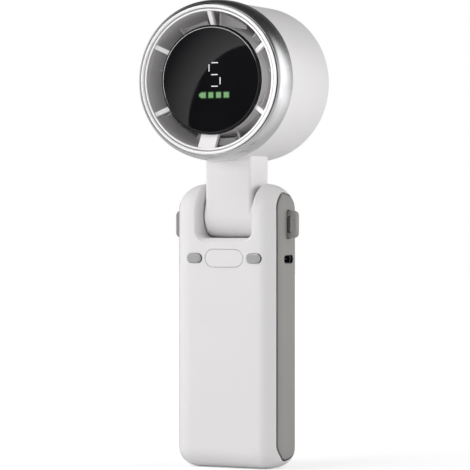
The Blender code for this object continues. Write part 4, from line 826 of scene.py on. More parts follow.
def head_shell():
    """The drum, the neck and the hinge's barrel, in one piece."""
    corner = arc((DRUM_RADIUS - DRUM_EDGE, DRUM_REAR - DRUM_EDGE), (DRUM_EDGE, DRUM_EDGE),
                 0, QUARTER_TURN, CURVE_STEPS)
    outline = filleted([
        (0, SPIGOT_FRONT),
        (SPIGOT_RADIUS, SPIGOT_FRONT),
        (SPIGOT_RADIUS, DRUM_FRONT, 0),
        (DRUM_RADIUS, DRUM_FRONT),
        *corner,
        (0, DRUM_REAR),
    ], SOFT)
    shell = add_object("head_shell", turned("Y", outline), AT_FAN)
    neck_outline = rounded_rectangle(NECK_WIDTH / 2, NECK_DEPTH / 2, NECK_EDGE, CORNER_STEPS)
    join(shell, prism("Z", neck_outline, -HEAD_RISE, -DRUM_BORE - FIT))
    barrel = rod("X", BARREL_RADIUS, -BARREL_HALF_WIDTH, BARREL_HALF_WIDTH, FINE_SEGMENTS, edge=2 * SOFT)
    bmesh.ops.scale(barrel, verts=barrel.verts, vec=(1, 1, BARREL_DROP / BARREL_RADIUS))
    join(shell, moved(barrel, AT_HINGE))
    lip_front = DRUM_REAR - REAR_LIP_THICKNESS
    mouth = DRUM_BORE - REAR_LIP_WIDTH
    bore_outline = filleted([
        (0, SPIGOT_FRONT - OVERRUN),
        (DRUM_BORE, SPIGOT_FRONT - OVERRUN),
        (DRUM_BORE, lip_front, 0),
        (mouth, lip_front, 0),
        (mouth, DRUM_REAR, REAR_LIP_THICKNESS / 2),
        (mouth + OVERRUN, DRUM_REAR + OVERRUN, 0),
        (0, DRUM_REAR + OVERRUN),
    ], SOFT)
    cut(shell, turned("Y", bore_outline))
    outline = box_outline(-POCKET_HALF_WIDTH, POCKET_HALF_WIDTH,
                          POCKET_FLOOR - HEAD_RISE, POCKET_ROOF - HEAD_RISE)
    pocket_front = -NECK_DEPTH / 2 + POCKET_FRONT_WALL
    cut(shell, flared_prism("Y", outline, pocket_front, NECK_DEPTH / 2, FINE_SOFT))
    boss_rear = NECK_DEPTH / 2 - COVER_THICKNESS - FIT
    for x, z in cover_screw_places():
        join(shell, moved(rod("Y", SCREW_BOSS_RADIUS, pocket_front - MERGE, boss_rear), (x, 0, z)))
        screw_hole(shell, x, z, boss_rear - COVER_SCREW_LENGTH, boss_rear + OVERRUN)
    ends = BARREL_HALF_WIDTH + OVERRUN
    cut(shell, moved(rod("X", PIN_RADIUS + FIT, -ends, ends), AT_HINGE))
    cut(shell, rod("Z", WIRE_WAY_RADIUS, -HEAD_RISE, -DRUM_BORE + OVERRUN, SMALL_SEGMENTS))
    return shell


def neck_plate():
    """The cover on the back of the neck, with a sink for each screw."""
    rear = NECK_DEPTH / 2
    half_height = (POCKET_ROOF - POCKET_FLOOR) / 2 - FIT
    outline = rounded_rectangle(POCKET_HALF_WIDTH - FIT, half_height, FINE_SOFT)
    outline = shifted(outline, 0, (POCKET_FLOOR + POCKET_ROOF) / 2 - HEAD_RISE)
    flat = soft_prism("Y", outline, rear, rear - COVER_THICKNESS, FINE_SOFT)
    cover = add_object("neck_plate", flat, AT_FAN)
    for x, z in cover_screw_places():
        screw_hole(cover, x, z, 0, rear, COVER_SEAT - FIT)
    return cover


def bezel_ring():
    """The silver ring: a rounded rim, a fine groove beside it, and the curved face outside."""
    inner = SPIGOT_RADIUS + FIT
    curve_front = BEZEL_FRONT + 2 * FIT
    curve = arc((RIM_OUTER_RADIUS + RIM_GROOVE, BEZEL_WIDEST),
                (BEZEL_RADIUS - RIM_OUTER_RADIUS - RIM_GROOVE, BEZEL_WIDEST - curve_front),
                -QUARTER_TURN, 0, CURVE_STEPS)
    rim = RIM_OUTER_RADIUS - RIM_INNER_RADIUS
    rim_arc = arc((RIM_INNER_RADIUS + rim / 2, BEZEL_FRONT + rim / 2), (rim / 2, rim / 2),
                  HALF_TURN, FULL_TURN, CURVE_STEPS)
    outline = [
        *rim_arc,
        (RIM_OUTER_RADIUS, curve_front + 2 * RIM_GROOVE),
        (RIM_OUTER_RADIUS + RIM_GROOVE / 2, curve_front + 2 * RIM_GROOVE),
        *curve,
        (BEZEL_RADIUS, DRUM_FRONT - FIT - FINE_SOFT),
        (BEZEL_RADIUS - FINE_SOFT, DRUM_FRONT - FIT),
        (inner, DRUM_FRONT - FIT),
        (inner, SPIGOT_FRONT - FIT),
        (RIM_INNER_RADIUS, BEZEL_FRONT + RIM_THICKNESS),
    ]
    return add_object("bezel_ring", turned("Y", outline), AT_FAN)


def grille_ring():
    """The white ring inside the bezel, with its six spokes."""
    outer = RIM_INNER_RADIUS - FIT
    inner = outer - GRILLE_RING_WIDTH
    ring = tube("Y", inner, outer, GRILLE_FRONT, SPIGOT_FRONT + FIT, edge=SOFT)
    grille = add_object("grille_ring", ring, AT_FAN)
    stations = (
        (HUB_RADIUS - FIT, GRILLE_HUB_FRONT + 2 * FIT + SPOKE_DEPTH / 2),
        (inner + GRILLE_RING_WIDTH / 2, GRILLE_FRONT + FIT + SPOKE_DEPTH / 2),
    )
    for index in range(SPOKE_COUNT):
        width, shift = (BOTTOM_SPOKE_WIDTH, BOTTOM_SPOKE_SHIFT) if index == 0 else (SPOKE_WIDTH, 0)
        turn = -QUARTER_TURN + FULL_TURN * index / SPOKE_COUNT
        join(grille, radial_bar(turn, stations, width, SPOKE_DEPTH, shift))
    return grille


def grille_hub():
    """The ring round the display that the spokes meet."""
    outline = filleted([
        (HUB_RADIUS - HUB_WALL, GRILLE_HUB_FRONT),
        (HUB_RADIUS, GRILLE_HUB_FRONT),
        (HUB_RADIUS, GRILLE_HUB_REAR),
        (HUB_RADIUS - HUB_WALL, GRILLE_HUB_REAR),
    ], FINE_SOFT)
    return add_object("grille_hub", turned("Y", outline), AT_FAN)


def display_glass():
    edge = HUB_RADIUS - LENS_BEVEL_WIDTH
    bevel = arc((edge, LENS_FRONT + LENS_BEVEL_DEPTH), (LENS_BEVEL_WIDTH, LENS_BEVEL_DEPTH),
                -QUARTER_TURN, 0, CURVE_STEPS)
    plug = HUB_RADIUS - HUB_WALL - FIT
    plug_rear = GRILLE_HUB_FRONT - FIT + LENS_PLUG_DEPTH
    outline = [
        (0, LENS_FRONT),
        (edge - LENS_LINE, LENS_FRONT),
        *bevel,
        (HUB_RADIUS, GRILLE_HUB_FRONT - FIT),
        (plug, GRILLE_HUB_FRONT - FIT),
        (plug, plug_rear),
        (0, plug_rear),
    ]
    return add_object("display_glass", turned("Y", outline), AT_FAN)


def vane_ring():
    """The duct liner, its guide vanes, the hub behind the display and the bearing tube."""
    liner = tube("Y", DUCT_RADIUS, DUCT_RADIUS + LINER_WALL, SPIGOT_FRONT + 2 * FIT, LINER_REAR)
    ring = add_object("vane_ring", liner, AT_FAN)
    hub_inner = HUB_RADIUS - HUB_WALL
    floor_front = STATOR_HUB_REAR - MOTOR_FLOOR
    hub_outline = filleted([
        (hub_inner, GRILLE_HUB_REAR + FIT),
        (HUB_RADIUS, GRILLE_HUB_REAR + FIT),
        (HUB_RADIUS, STATOR_HUB_REAR),
        (BEARING_TUBE_RADIUS, STATOR_HUB_REAR),
        (BEARING_TUBE_RADIUS, BEARING_TUBE_REAR),
        (BEARING_BORE, BEARING_TUBE_REAR),
        (BEARING_BORE, floor_front),
        (hub_inner, floor_front),
    ], FINE_SOFT)
    join(ring, turned("Y", hub_outline))
    for index in range(VANE_COUNT):
        join(ring, swept_blade(HUB_RADIUS - HUB_WALL / 2, DUCT_RADIUS + LINER_WALL / 2, VANE_FRONT, VANE_REAR,
                               -VANE_SWEEP, VANE_THICKNESS, QUARTER_TURN + FULL_TURN * index / VANE_COUNT))
    return ring


def inlet_grille():
    """The air inlet at the back: two rings, a shallow cap and sixteen bars."""
    front = LINER_REAR + FIT
    rear = front + REAR_GRILLE_THICKNESS
    outer = DRUM_BORE - FIT
    ring = tube("Y", outer - REAR_GRILLE_RING - REAR_LIP_WIDTH, outer, front, rear, edge=SOFT)
    grille = add_object("inlet_grille", ring, AT_FAN)
    half_ring = REAR_GRILLE_MID_RING / 2
    join(grille, tube("Y", REAR_GRILLE_MID_RADIUS - half_ring, REAR_GRILLE_MID_RADIUS + half_ring,
                      front + FIT, rear - FIT, edge=SOFT))
    radii = (REAR_GRILLE_CAP_RADIUS, REAR_GRILLE_CAP_DOME + SOFT)
    dome = arc((0, rear - SOFT), radii, 0, QUARTER_TURN, CURVE_STEPS)
    cap_outline = [(0, front), (REAR_GRILLE_CAP_RADIUS, front), *dome[:-1], (0, rear + REAR_GRILLE_CAP_DOME)]
    join(grille, turned("Y", cap_outline))
    bar_front = front + 2 * FIT
    bar_rear = rear - 2 * FIT
    middle = (bar_front + bar_rear) / 2
    stations = ((REAR_GRILLE_CAP_RADIUS - REAR_BAR_WIDTH, middle), (outer - REAR_GRILLE_RING, middle))
    for index in range(REAR_BAR_COUNT):
        turn = FULL_TURN * index / REAR_BAR_COUNT
        join(grille, radial_bar(turn, stations, REAR_BAR_WIDTH, bar_rear - bar_front))
    return grille


def fan_wheel():
    """The domed hub, open towards the motor, with nine swept blades."""
    reach = IMPELLER_REAR - IMPELLER_FRONT
    dome = arc((0, IMPELLER_FRONT), (IMPELLER_RADIUS, reach), 0, QUARTER_TURN, CURVE_STEPS)[:-1]
    inner_base = IMPELLER_RADIUS - IMPELLER_SKIN
    inner_reach = reach - IMPELLER_SKIN
    inside = arc((0, IMPELLER_FRONT), (inner_base, inner_reach), 0, QUARTER_TURN, CURVE_STEPS)
    seat_outer = BELL_SEAT_RADIUS + IMPELLER_SKIN
    hollow = [point for point in inside if point[0] > seat_outer + FIT]
    meeting = IMPELLER_FRONT + inner_reach * math.sqrt(1 - (seat_outer / inner_base) ** 2)
    outline = [
        (IMPELLER_BORE, IMPELLER_REAR - FIT),
        *[point for point in reversed(dome) if point[0] > IMPELLER_BORE],
        *hollow,
        (seat_outer, meeting),
        (seat_outer, BELL_FRONT),
        (BELL_SEAT_RADIUS, BELL_FRONT),
        (BELL_SEAT_RADIUS, BELL_POCKET_REAR),
        (IMPELLER_BORE, BELL_POCKET_REAR),
    ]
    wheel = add_object("fan_wheel", turned("Y", outline), AT_FAN)
    for index in range(BLADE_COUNT):
        join(wheel, swept_blade(seat_outer + IMPELLER_SKIN, BLADE_TIP_RADIUS, BLADE_FRONT, BLADE_REAR,
                                BLADE_SWEEP, BLADE_THICKNESS, FULL_TURN * index / BLADE_COUNT))
    return wheel


# Display figures, as thin raised bars on the glass

FIGURE_PROUD = 0.03 * MM
FIGURE_ROOT = 0.2 * MM
GLOW_REACH = 0.4 * MM


def figure(name, outlines, proud=FIGURE_PROUD):
    """Thin bars that stand a hair proud of the glass, from outlines in (x, z) round its middle."""
    shape = bmesh.new()
    for outline in outlines:
        bar = prism("Y", outline, LENS_FRONT - proud, LENS_FRONT + FIGURE_ROOT)
        mesh = bpy.data.meshes.new("bar")
        bmesh.ops.recalc_face_normals(bar, faces=bar.faces)
        bar.to_mesh(mesh)
        bar.free()
        shape.from_mesh(mesh)
        bpy.data.meshes.remove(mesh)
    return add_object(name, shape, AT_FAN)


def number_bars():
    """A five in seven-segment form. Each bar is (middle x, middle z, length along x, length along z)."""
    thin = 0.38 * MM
    wide = 2.9 * MM
    tall = 2.9 * MM
    bars = [
        (1.90 * MM, 6.75 * MM, wide, thin),
        (-0.60 * MM, 4.75 * MM, thin, tall),
        (1.80 * MM, 2.00 * MM, wide, thin),
        (4.25 * MM, -0.50 * MM, thin, tall),
        (1.80 * MM, -2.65 * MM, wide, thin),
    ]
    outlines = []
    for x, z, width, height in bars:
        outlines.append(shifted(rounded_rectangle(width / 2, height / 2, 0.4 * thin), x, z))
    return figure("display_number", outlines)


def battery_outlines():
    """A pointed first segment and three square ones."""
    high = -5.07 * MM
    low = -7.19 * MM
    middle = (low + high) / 2
    tip = -4.9 * MM
    shoulder = -4.0 * MM
    end = -2.1 * MM
    nose = 0.35 * MM
    outlines = [[(tip, middle - nose), (shoulder, low), (end, low),
                 (end, high), (shoulder, high), (tip, middle + nose)]]
    for left, right in ((-0.8, 1.2), (2.55, 4.6), (5.9, 8.1)):
        half = (right - left) * MM / 2
        square = rounded_rectangle(half, (high - low) / 2, FINE_SOFT)
        outlines.append(shifted(square, left * MM + half, middle))
    return outlines


def battery_bars():
    return figure("display_charge", battery_outlines())


def battery_glow():
    """The faint light round the battery's segments, lower on the glass than the segments."""
    outlines = [inset(outline, -GLOW_REACH) for outline in battery_outlines()]
    return figure("display_glow", outlines, FIGURE_PROUD / 2)


# Materials

def feed(owner, socket, value):
    """Links an output to a socket, or sets the socket to a value."""
    if isinstance(value, bpy.types.NodeSocket):
        owner.node_tree.links.new(value, socket)
    else:
        socket.default_value = value


def add_node(owner, kind, settings=None, sockets=None):
    """Adds a node with its settings, and its sockets' values or links."""
    made = owner.node_tree.nodes.new(kind)
    for name, value in (settings or {}).items():
        setattr(made, name, value)
    for name, value in (sockets or {}).items():
        feed(owner, made.inputs[name], value)
    return made


def computed(owner, operation, *values):
    made = add_node(owner, "ShaderNodeMath", {"operation": operation}, dict(enumerate(values)))
    return made.outputs["Value"]


def vector_computed(owner, operation, *values):
    made = add_node(owner, "ShaderNodeVectorMath", {"operation": operation}, dict(enumerate(values)))
    return made.outputs["Value" if operation in ("LENGTH", "DOT_PRODUCT") else "Vector"]


def product(owner, first, *others):
    for other in others:
        first = computed(owner, "MULTIPLY", first, other)
    return first


def axes(owner, place):
    return tuple(add_node(owner, "ShaderNodeSeparateXYZ", None, {"Vector": place}).outputs)


def principled(material):
    return material.node_tree.nodes["Principled BSDF"]


def new_material(name, colour, roughness, metallic=0.0, **values):
    made = bpy.data.materials.new(name)
    made.use_nodes = True
    sockets = principled(made).inputs
    sockets["Base Color"].default_value = (*colour, 1.0)
    sockets["Roughness"].default_value = roughness
    sockets["Metallic"].default_value = metallic
    for socket, value in values.items():
        sockets[socket.replace("_", " ")].default_value = value
    made.diffuse_color = (*colour, 1.0)
    return made


def surfaced(material, colour, roughness, normal):
    """Links a finish's colour, roughness and normal to its shader."""
    for name, value in (("Base Color", colour), ("Roughness", roughness), ("Normal", normal)):
        feed(material, principled(material).inputs[name], value)
    return material


def own_place(material):
    return add_node(material, "ShaderNodeTexCoord").outputs["Object"]


def noise(material, place, scale, detail=2.0, roughness=0.5):
    made = add_node(material, "ShaderNodeTexNoise", None,
                    {"Vector": place, "Scale": scale, "Detail": detail, "Roughness": roughness})
    return made.outputs["Fac"]


def spread(owner, value, low, high, start=0.3, end=0.7, easing="LINEAR"):
    """Maps a texture's middle range, or another range, to a range of values."""
    made = add_node(owner, "ShaderNodeMapRange", {"interpolation_type": easing},
                    {"Value": value, "From Min": start, "From Max": end, "To Min": low, "To Max": high})
    return made.outputs["Result"]


def eased(owner, value, start, end, low=0.0, high=1.0):
    return spread(owner, value, low, high, start, end, "SMOOTHSTEP")


def blended(material, factor, first, second):
    """A mix of two colours. Each one, and the factor, is a value or an output."""
    made = add_node(material, "ShaderNodeMix", {"data_type": "RGBA"})
    sockets = {socket.identifier: socket for socket in made.inputs}
    feed(material, sockets["Factor_Float"], factor)
    for name, value in (("A_Color", first), ("B_Color", second)):
        feed(material, sockets[name], (*value, 1.0) if isinstance(value, tuple) else value)
    return next(socket for socket in made.outputs if socket.identifier == "Result_Color")


def scaled(colour, amount):
    return tuple(min(channel * amount, 1.0) for channel in colour)


def mottled(material, texture, colour, dark, bright):
    """A colour that a texture varies between two shares of its brightness."""
    share = spread(material, texture, 0.0, 1.0)
    return blended(material, share, scaled(colour, dark), scaled(colour, bright))


def rounded_normal(material, radius):
    return add_node(material, "ShaderNodeBevel", {"samples": 6}, {"Radius": radius}).outputs["Normal"]


def edge_share(material, radius):
    """How near a point is to an edge: 0 on open faces, towards 1 on edges."""
    flat = add_node(material, "ShaderNodeNewGeometry").outputs["Normal"]
    match = vector_computed(material, "DOT_PRODUCT", rounded_normal(material, radius), flat)
    return spread(material, match, 1.0, 0.0, 0.6, 0.98)


def bumped(material, height, strength, distance, under=None):
    sockets = {"Height": height, "Strength": strength, "Distance": distance}
    if under is not None:
        sockets["Normal"] = under
    return add_node(material, "ShaderNodeBump", None, sockets).outputs["Normal"]


def moulded(name, colour, roughness, grain, tint, relief, edge=SOFT, edge_highlight=1.05):
    """Moulded plastic or rubber: fine texture of the mould, faint mottling, and edges painted slightly
    brighter, a painted highlight.
    """
    material = new_material(name, colour, roughness)
    place = own_place(material)
    fine = noise(material, place, grain, 3.0, 0.6)
    base = mottled(material, noise(material, place, 45.0, 3.0), colour, 1 - tint, 1 + tint)
    body = blended(material, 0.4, base, mottled(material, fine, colour, 1 - tint, 1 + tint))
    return surfaced(material, blended(material, edge_share(material, edge), body, scaled(colour, edge_highlight)),
                    spread(material, noise(material, place, 90.0), roughness * 0.92, roughness * 1.08),
                    bumped(material, fine, relief, 0.02 * MM, rounded_normal(material, edge)))


def ring_place(material, across, round_the_axis):
    """Coordinates that run round the fan's axis, so that a texture becomes fine rings."""
    x, y, z = axes(material, own_place(material))
    flat = add_node(material, "ShaderNodeCombineXYZ", None, {"X": x, "Y": z}).outputs["Vector"]
    radius = vector_computed(material, "LENGTH", flat)
    turn = computed(material, "ARCTAN2", z, x)
    rings = {"X": product(material, radius, across), "Y": product(material, y, across),
             "Z": product(material, turn, round_the_axis)}
    return add_node(material, "ShaderNodeCombineXYZ", None, rings).outputs["Vector"]


def satin_ring(name, colour, roughness, relief):
    """Plated metal with fine rings from its finishing, and slightly uneven gloss."""
    material = new_material(name, colour, roughness, 1.0)
    rings = noise(material, ring_place(material, 9000.0, 0.6), 1.0, 2.0, 0.7)
    cloud = noise(material, own_place(material), 70.0, 3.0)
    return surfaced(material, mottled(material, cloud, colour, 0.96, 1.03),
                    spread(material, rings, roughness * 0.8, roughness * 1.25),
                    bumped(material, rings, relief, 0.004 * MM))


def metal(name, colour, roughness, grain=1800.0, relief=0.15, metallic=1.0):
    """Turned or pressed metal with fine scratches and duller patches."""
    material = new_material(name, colour, roughness, metallic)
    place = own_place(material)
    stretched = add_node(material, "ShaderNodeMapping", None, {"Vector": place, "Scale": (1.0, 0.08, 1.0)})
    fine = noise(material, stretched.outputs["Vector"], grain, 3.0, 0.65)
    return surfaced(material, mottled(material, noise(material, place, 220.0, 3.0), colour, 0.88, 1.08),
                    spread(material, fine, roughness * 0.8, roughness * 1.3),
                    bumped(material, fine, relief, 0.01 * MM, rounded_normal(material, FINE_SOFT)))


def gloss_black(name, colour):
    """Polished glass with black print behind it, and faint smears."""
    material = new_material(name, colour, 0.015, IOR=1.33)
    place = own_place(material)
    return surfaced(material, mottled(material, noise(material, place, 60.0), colour, 0.85, 1.15),
                    spread(material, noise(material, place, 300.0), 0.008, 0.022),
                    bumped(material, noise(material, place, 900.0, 1.0), 0.02, 0.0005 * MM))


def painted_light_fade(name, colour, shade_colour, way, start, end):
    """Painted light and shade: a colour that fades from a shaded colour to a lit one across the piece."""
    material = new_material(name, colour, 0.4)
    place = own_place(material)
    clear = spread(material, vector_computed(material, "DOT_PRODUCT", place, way), 0.0, 1.0, start, end)
    fine = noise(material, place, 2600.0)
    return surfaced(material, blended(material, clear, shade_colour, mottled(material, fine, colour, 0.92, 1.05)),
                    spread(material, fine, 0.35, 0.5),
                    bumped(material, fine, 0.1, 0.01 * MM))


def circuit_board(name, colour, copper_track):
    """Solder mask over copper tracks."""
    material = new_material(name, colour, 0.35)
    place = own_place(material)
    cells = {"feature": "DISTANCE_TO_EDGE", "distance": "CHEBYCHEV"}
    tracks = add_node(material, "ShaderNodeTexVoronoi", cells, {"Vector": place, "Scale": 420.0})
    lines = spread(material, tracks.outputs["Distance"], 1.0, 0.0, 0.03, 0.06)
    mask = mottled(material, noise(material, place, 120.0), colour, 0.9, 1.1)
    return surfaced(material, blended(material, lines, mask, copper_track),
                    spread(material, noise(material, place, 900.0), 0.3, 0.42),
                    bumped(material, lines, 0.4, 0.02 * MM))


def wound_wire(name, colour):
    """Enamelled wire in neat turns, with painted shade between the turns and a painted sheen on them."""
    material = new_material(name, colour, 0.35, 1.0)
    place = own_place(material)
    turns = add_node(material, "ShaderNodeTexWave", {"wave_type": "BANDS", "bands_direction": "Y"},
                     {"Vector": place, "Scale": 900.0, "Distortion": 0.6, "Detail": 1.0}).outputs["Fac"]
    return surfaced(material, blended(material, turns, scaled(colour, 0.45), scaled(colour, 1.1)),
                    spread(material, noise(material, place, 700.0), 0.28, 0.45),
                    bumped(material, turns, 0.7, 0.15 * MM))


def lit(name, colour, strength):
    """A lit figure whose brightness has a faint grain."""
    material = new_material(name, scaled(colour, 0.3), 0.5, Emission_Strength=strength)
    cells = noise(material, own_place(material), 1500.0)
    feed(material, principled(material).inputs["Emission Color"], mottled(material, cells, colour, 0.9, 1.0))
    return material


white = moulded("white_plastic_look", (0.80, 0.785, 0.79), 0.42, 3200.0, 0.008, 0.06)
strip_grey = moulded("grey_strip_look", (0.31, 0.30, 0.29), 0.55, 2600.0, 0.03, 0.25, edge_highlight=1.25)
rubber_grey = moulded("grey_rubber_look", (0.40, 0.40, 0.40), 0.7, 2400.0, 0.04, 0.3, edge_highlight=1.15)
duct_grey = moulded("duct_grey_look", (0.66, 0.65, 0.65), 0.5, 2800.0, 0.03, 0.12, edge_highlight=1.1)
# Dark plastic: the own colour of the black inner parts, and painted shade in the groove round each side strip
# and at each speed pad's right end.
dark_plastic_and_shade = moulded("dark_plastic_and_shade_look", (0.03, 0.03, 0.03), 0.45, 2400.0, 0.1, 0.2, edge_highlight=1.4)
# Painted shade: near black for the faces of holes and slots that lie in shade.
shade_black = moulded("shade_black_look", (0.008, 0.008, 0.008), 0.5, 2400.0, 0.1, 0.1, edge_highlight=1.1)
sleeve_blue = moulded("cell_sleeve_look", (0.05, 0.20, 0.40), 0.32, 900.0, 0.05, 0.05, edge_highlight=1.2)
# Painted highlight: the rim gets a bright white finish in place of the bezel's metal, so it reads bright all
# round.
rim_highlight = moulded("rim_highlight_look", (0.86, 0.86, 0.86), 0.2, 1800.0, 0.01, 0.02, FINE_SOFT)
satin_silver = satin_ring("satin_silver_look", (0.66, 0.66, 0.67), 0.26, 0.22)
# Painted highlight: a light line round the glass's edge, bright at the upper left and fading to black at the
# lower right.
glass_edge_highlight = painted_light_fade("glass_edge_highlight_look", (0.55, 0.55, 0.56), (0.012, 0.012, 0.012), (-0.42, 0.0, 0.91),
                      -2.5 * MM, 6.0 * MM)
# Painted shade: the groove beside the rim is near black at the upper right and fades to light grey at the
# lower left.
rim_groove_shade = painted_light_fade("rim_groove_shade_look", (0.60, 0.60, 0.61), (0.03, 0.03, 0.03), (-1.0, 0.0, -0.5),
                      -6.0 * MM, 8.0 * MM)
steel = metal("steel_look", (0.55, 0.55, 0.56), 0.32)
# Painted shade: the socket's metal is far darker than steel, so that the socket reads dark.
shaded_port_metal = metal("shaded_port_metal_look", (0.10, 0.10, 0.105), 0.4)
bronze = metal("sintered_bronze_look", (0.45, 0.30, 0.14), 0.5, 2600.0, 0.5)
magnet = metal("dark_magnet_look", (0.06, 0.06, 0.06), 0.55, 2000.0, 0.4, 0.0)
copper = wound_wire("wound_copper_look", (0.60, 0.28, 0.12))
board_green = circuit_board("board_green_look", (0.02, 0.14, 0.06), (0.03, 0.24, 0.10))
black_glass = gloss_black("black_lens_look", (0.005, 0.005, 0.006))
white_light = lit("display_white_look", (0.80, 0.80, 0.79), 0.8)
green_light = lit("display_green_look", (0.19, 0.39, 0.165), 0.6)
green_glow = lit("display_glow_look", (0.006, 0.040, 0.006), 0.8)


# Pieces in place

def dress(made, material, body, slot, *nodes):
    """Gives a piece its finish, its even shading, its body and the CAD nodes that it stands for."""
    mesh = made.data
    mesh.materials.clear()
    mesh.materials.append(material)
    mesh.shade_smooth()
    mesh.set_sharp_from_angle(angle=SMOOTH_ANGLE)
    even = made.modifiers.new("even shading", "WEIGHTED_NORMAL")
    even.keep_sharp = True
    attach(made, body)
    if nodes:
        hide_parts(*nodes)
    return made


def paint_finish_or_light(made, material, chosen):
    """Gives some faces of a piece a second finish or painted light and shade, chosen by their middle and
    their normal.
    """
    made.data.materials.append(material)
    last = len(made.data.materials) - 1
    for face in made.data.polygons:
        if chosen(face.center, face.normal):
            face.material_index = last
    return made


# Tests that choose faces by their middle and normal, for a second finish or for painted light and shade

def from_axis(middle):
    return math.hypot(middle.x, middle.z)


def in_strap_slot(middle, normal):
    across = -FINE_SOFT < abs(middle.x) - HANDLE_SIDE < LOOP_SLOT_WIDTH + FINE_SOFT
    along = abs(middle.z - LOOP_HEIGHT) < LOOP_LENGTH / 2 - LOOP_BAR + FINE_SOFT
    on_wall = abs(normal.y) < 0.75
    return across and along and on_wall


def in_socket_mouth(middle, normal):
    across = abs(middle.y) < SOCKET_WIDTH / 2 + SOFT + SOCKET_MOUTH_MARGIN
    along = abs(middle.z - SOCKET_HEIGHT) < SOCKET_THICKNESS
    on_wall = abs(normal.x) < 0.5
    return across and along and on_wall


def in_socket(middle, normal):
    return abs(middle.x) < HANDLE_SIDE - SOCKET_SETBACK - SOCKET_WALL


def on_rim(middle, normal):
    return from_axis(middle) < RIM_OUTER_RADIUS + FINE_SOFT


def in_rim_groove(middle, normal):
    beside = RIM_OUTER_RADIUS - HAIR < from_axis(middle) < RIM_OUTER_RADIUS + RIM_GROOVE
    deep = BEZEL_FRONT + FIT < middle.y < BEZEL_FRONT + 2 * FIT + 3 * RIM_GROOVE
    on_wall = abs(normal.y) < 0.999
    return beside and deep and on_wall


def in_pocket(middle, normal):
    under = side_skin(1, middle.y, middle.z, 0)[0] - abs(middle.x)
    across = abs(middle.y) < STRIP_WIDTH / 2 + SHUT_LINE + FINE_SOFT
    beside = abs(middle.x) > HANDLE_SIDE - PLAN_CORNER and middle.z < STRIP_TIP_HEIGHT
    return across and beside and FINE_SOFT < under < STRIP_THICKNESS + 2 * FIT


def on_pad_side(middle, normal):
    return abs(normal.y) < 0.72


def in_pad_gap(middle, normal):
    return normal.x > 0.2 and abs(normal.y) < 0.3


def on_ring_bore(middle, normal):
    bore = RIM_INNER_RADIUS - FIT - GRILLE_RING_WIDTH
    inwards = (normal.x * middle.x + normal.z * middle.z) / from_axis(middle) < -0.9
    return abs(from_axis(middle) - bore) < FINE_SOFT and inwards


def on_glass_edge(middle, normal):
    edge = HUB_RADIUS - LENS_BEVEL_WIDTH
    return edge - LENS_LINE < from_axis(middle) < edge and normal.y < -0.99


# Each piece with its finish, body, slot and CAD node

casing = dress(front_casing(), white, "handle", "white_plastic", "handle_front_shell")
# Painted shade: the walls of the groove round each side strip are dark.
paint_finish_or_light(casing, dark_plastic_and_shade, in_pocket)
casing = dress(rear_casing(), white, "handle", "white_plastic", "handle_rear_shell")
# Painted shade: the walls of the groove round each side strip are dark.
paint_finish_or_light(casing, dark_plastic_and_shade, in_pocket)
for side, word in ((-1, "left"), (1, "right")):
    strip = dress(side_strip(side, word), strip_grey, "handle", "grey_strip", f"side_strip_{word}")
    # Painted shade: near black on the walls of the socket's hole in the strip.
    paint_finish_or_light(strip, shade_black, in_socket_mouth)
    eye = dress(strap_eye(side, word), strip_grey, "handle", "grey_strip", f"strap_loop_{word}")
    # Painted shade: near black on the faces round the strap eye's slot.
    paint_finish_or_light(eye, shade_black, in_strap_slot)
# Painted shade: the socket's metal is darkened, and the faces inside its mouth are near black.
paint_finish_or_light(dress(charging_socket(), shaded_port_metal, "handle", "steel", "usb_c_port"), shade_black, in_socket)
under_head = HANDLE_FACE - SCREW_SINK - SCREW_HEAD_HEIGHT
for (x, z), word in zip(case_screw_places(), ("left", "right")):
    screw = slotted_screw(f"case_fixing_{word}", (x, under_head, z), SCREW_LENGTH)
    dress(screw, steel, "handle", "steel", f"case_screw_{word}")
cap = key("power_key_cap", POWER_LENGTH, POWER_HEIGHT, 0, 0, FINE_SOFT)
dress(cap, white, "power_key", "white_plastic", "power_button")
for side, word in ((-1, "down"), (1, "up")):
    offset = side * SPEED_OFFSET
    pad = key(f"speed_{word}_pad", SPEED_LENGTH, SPEED_HEIGHT, offset, SPEED_PROUD, PAD_SOFT, PAD_SHIFT)
    dress(pad, rubber_grey, f"speed_{word}_key", "grey_rubber", f"speed_{word}_button")
    # The pads' sides are white, partly a white key body and partly a painted highlight at each pad's right
    # end. The sides facing right are dark, a painted shade.
    paint_finish_or_light(paint_finish_or_light(pad, white, on_pad_side), dark_plastic_and_shade, in_pad_gap)

dress(head_shell(), white, "head", "white_plastic", "head_housing")
dress(neck_plate(), white, "head", "white_plastic", "neck_rear_cover")
for (x, z), word in zip(cover_screw_places(), ("left", "right")):
    screw = slotted_screw(f"neck_fixing_{word}", (x, COVER_SEAT, z), COVER_SCREW_LENGTH, AT_FAN)
    dress(screw, steel, "head", "steel", f"neck_screw_{word}")
bezel = dress(bezel_ring(), satin_silver, "head", "satin_silver", "front_bezel")
# Painted highlight on the rim, and painted shade in the groove beside it.
paint_finish_or_light(paint_finish_or_light(bezel, rim_highlight, on_rim), rim_groove_shade, in_rim_groove)
# Painted shade: the white ring's bore gets the duct's grey, so the ring fades into the duct.
paint_finish_or_light(dress(grille_ring(), white, "head", "white_plastic", "front_grille"), duct_grey, on_ring_bore)
dress(grille_hub(), duct_grey, "head", "duct_grey")
lens = dress(display_glass(), black_glass, "head", "black_lens", "display_lens")
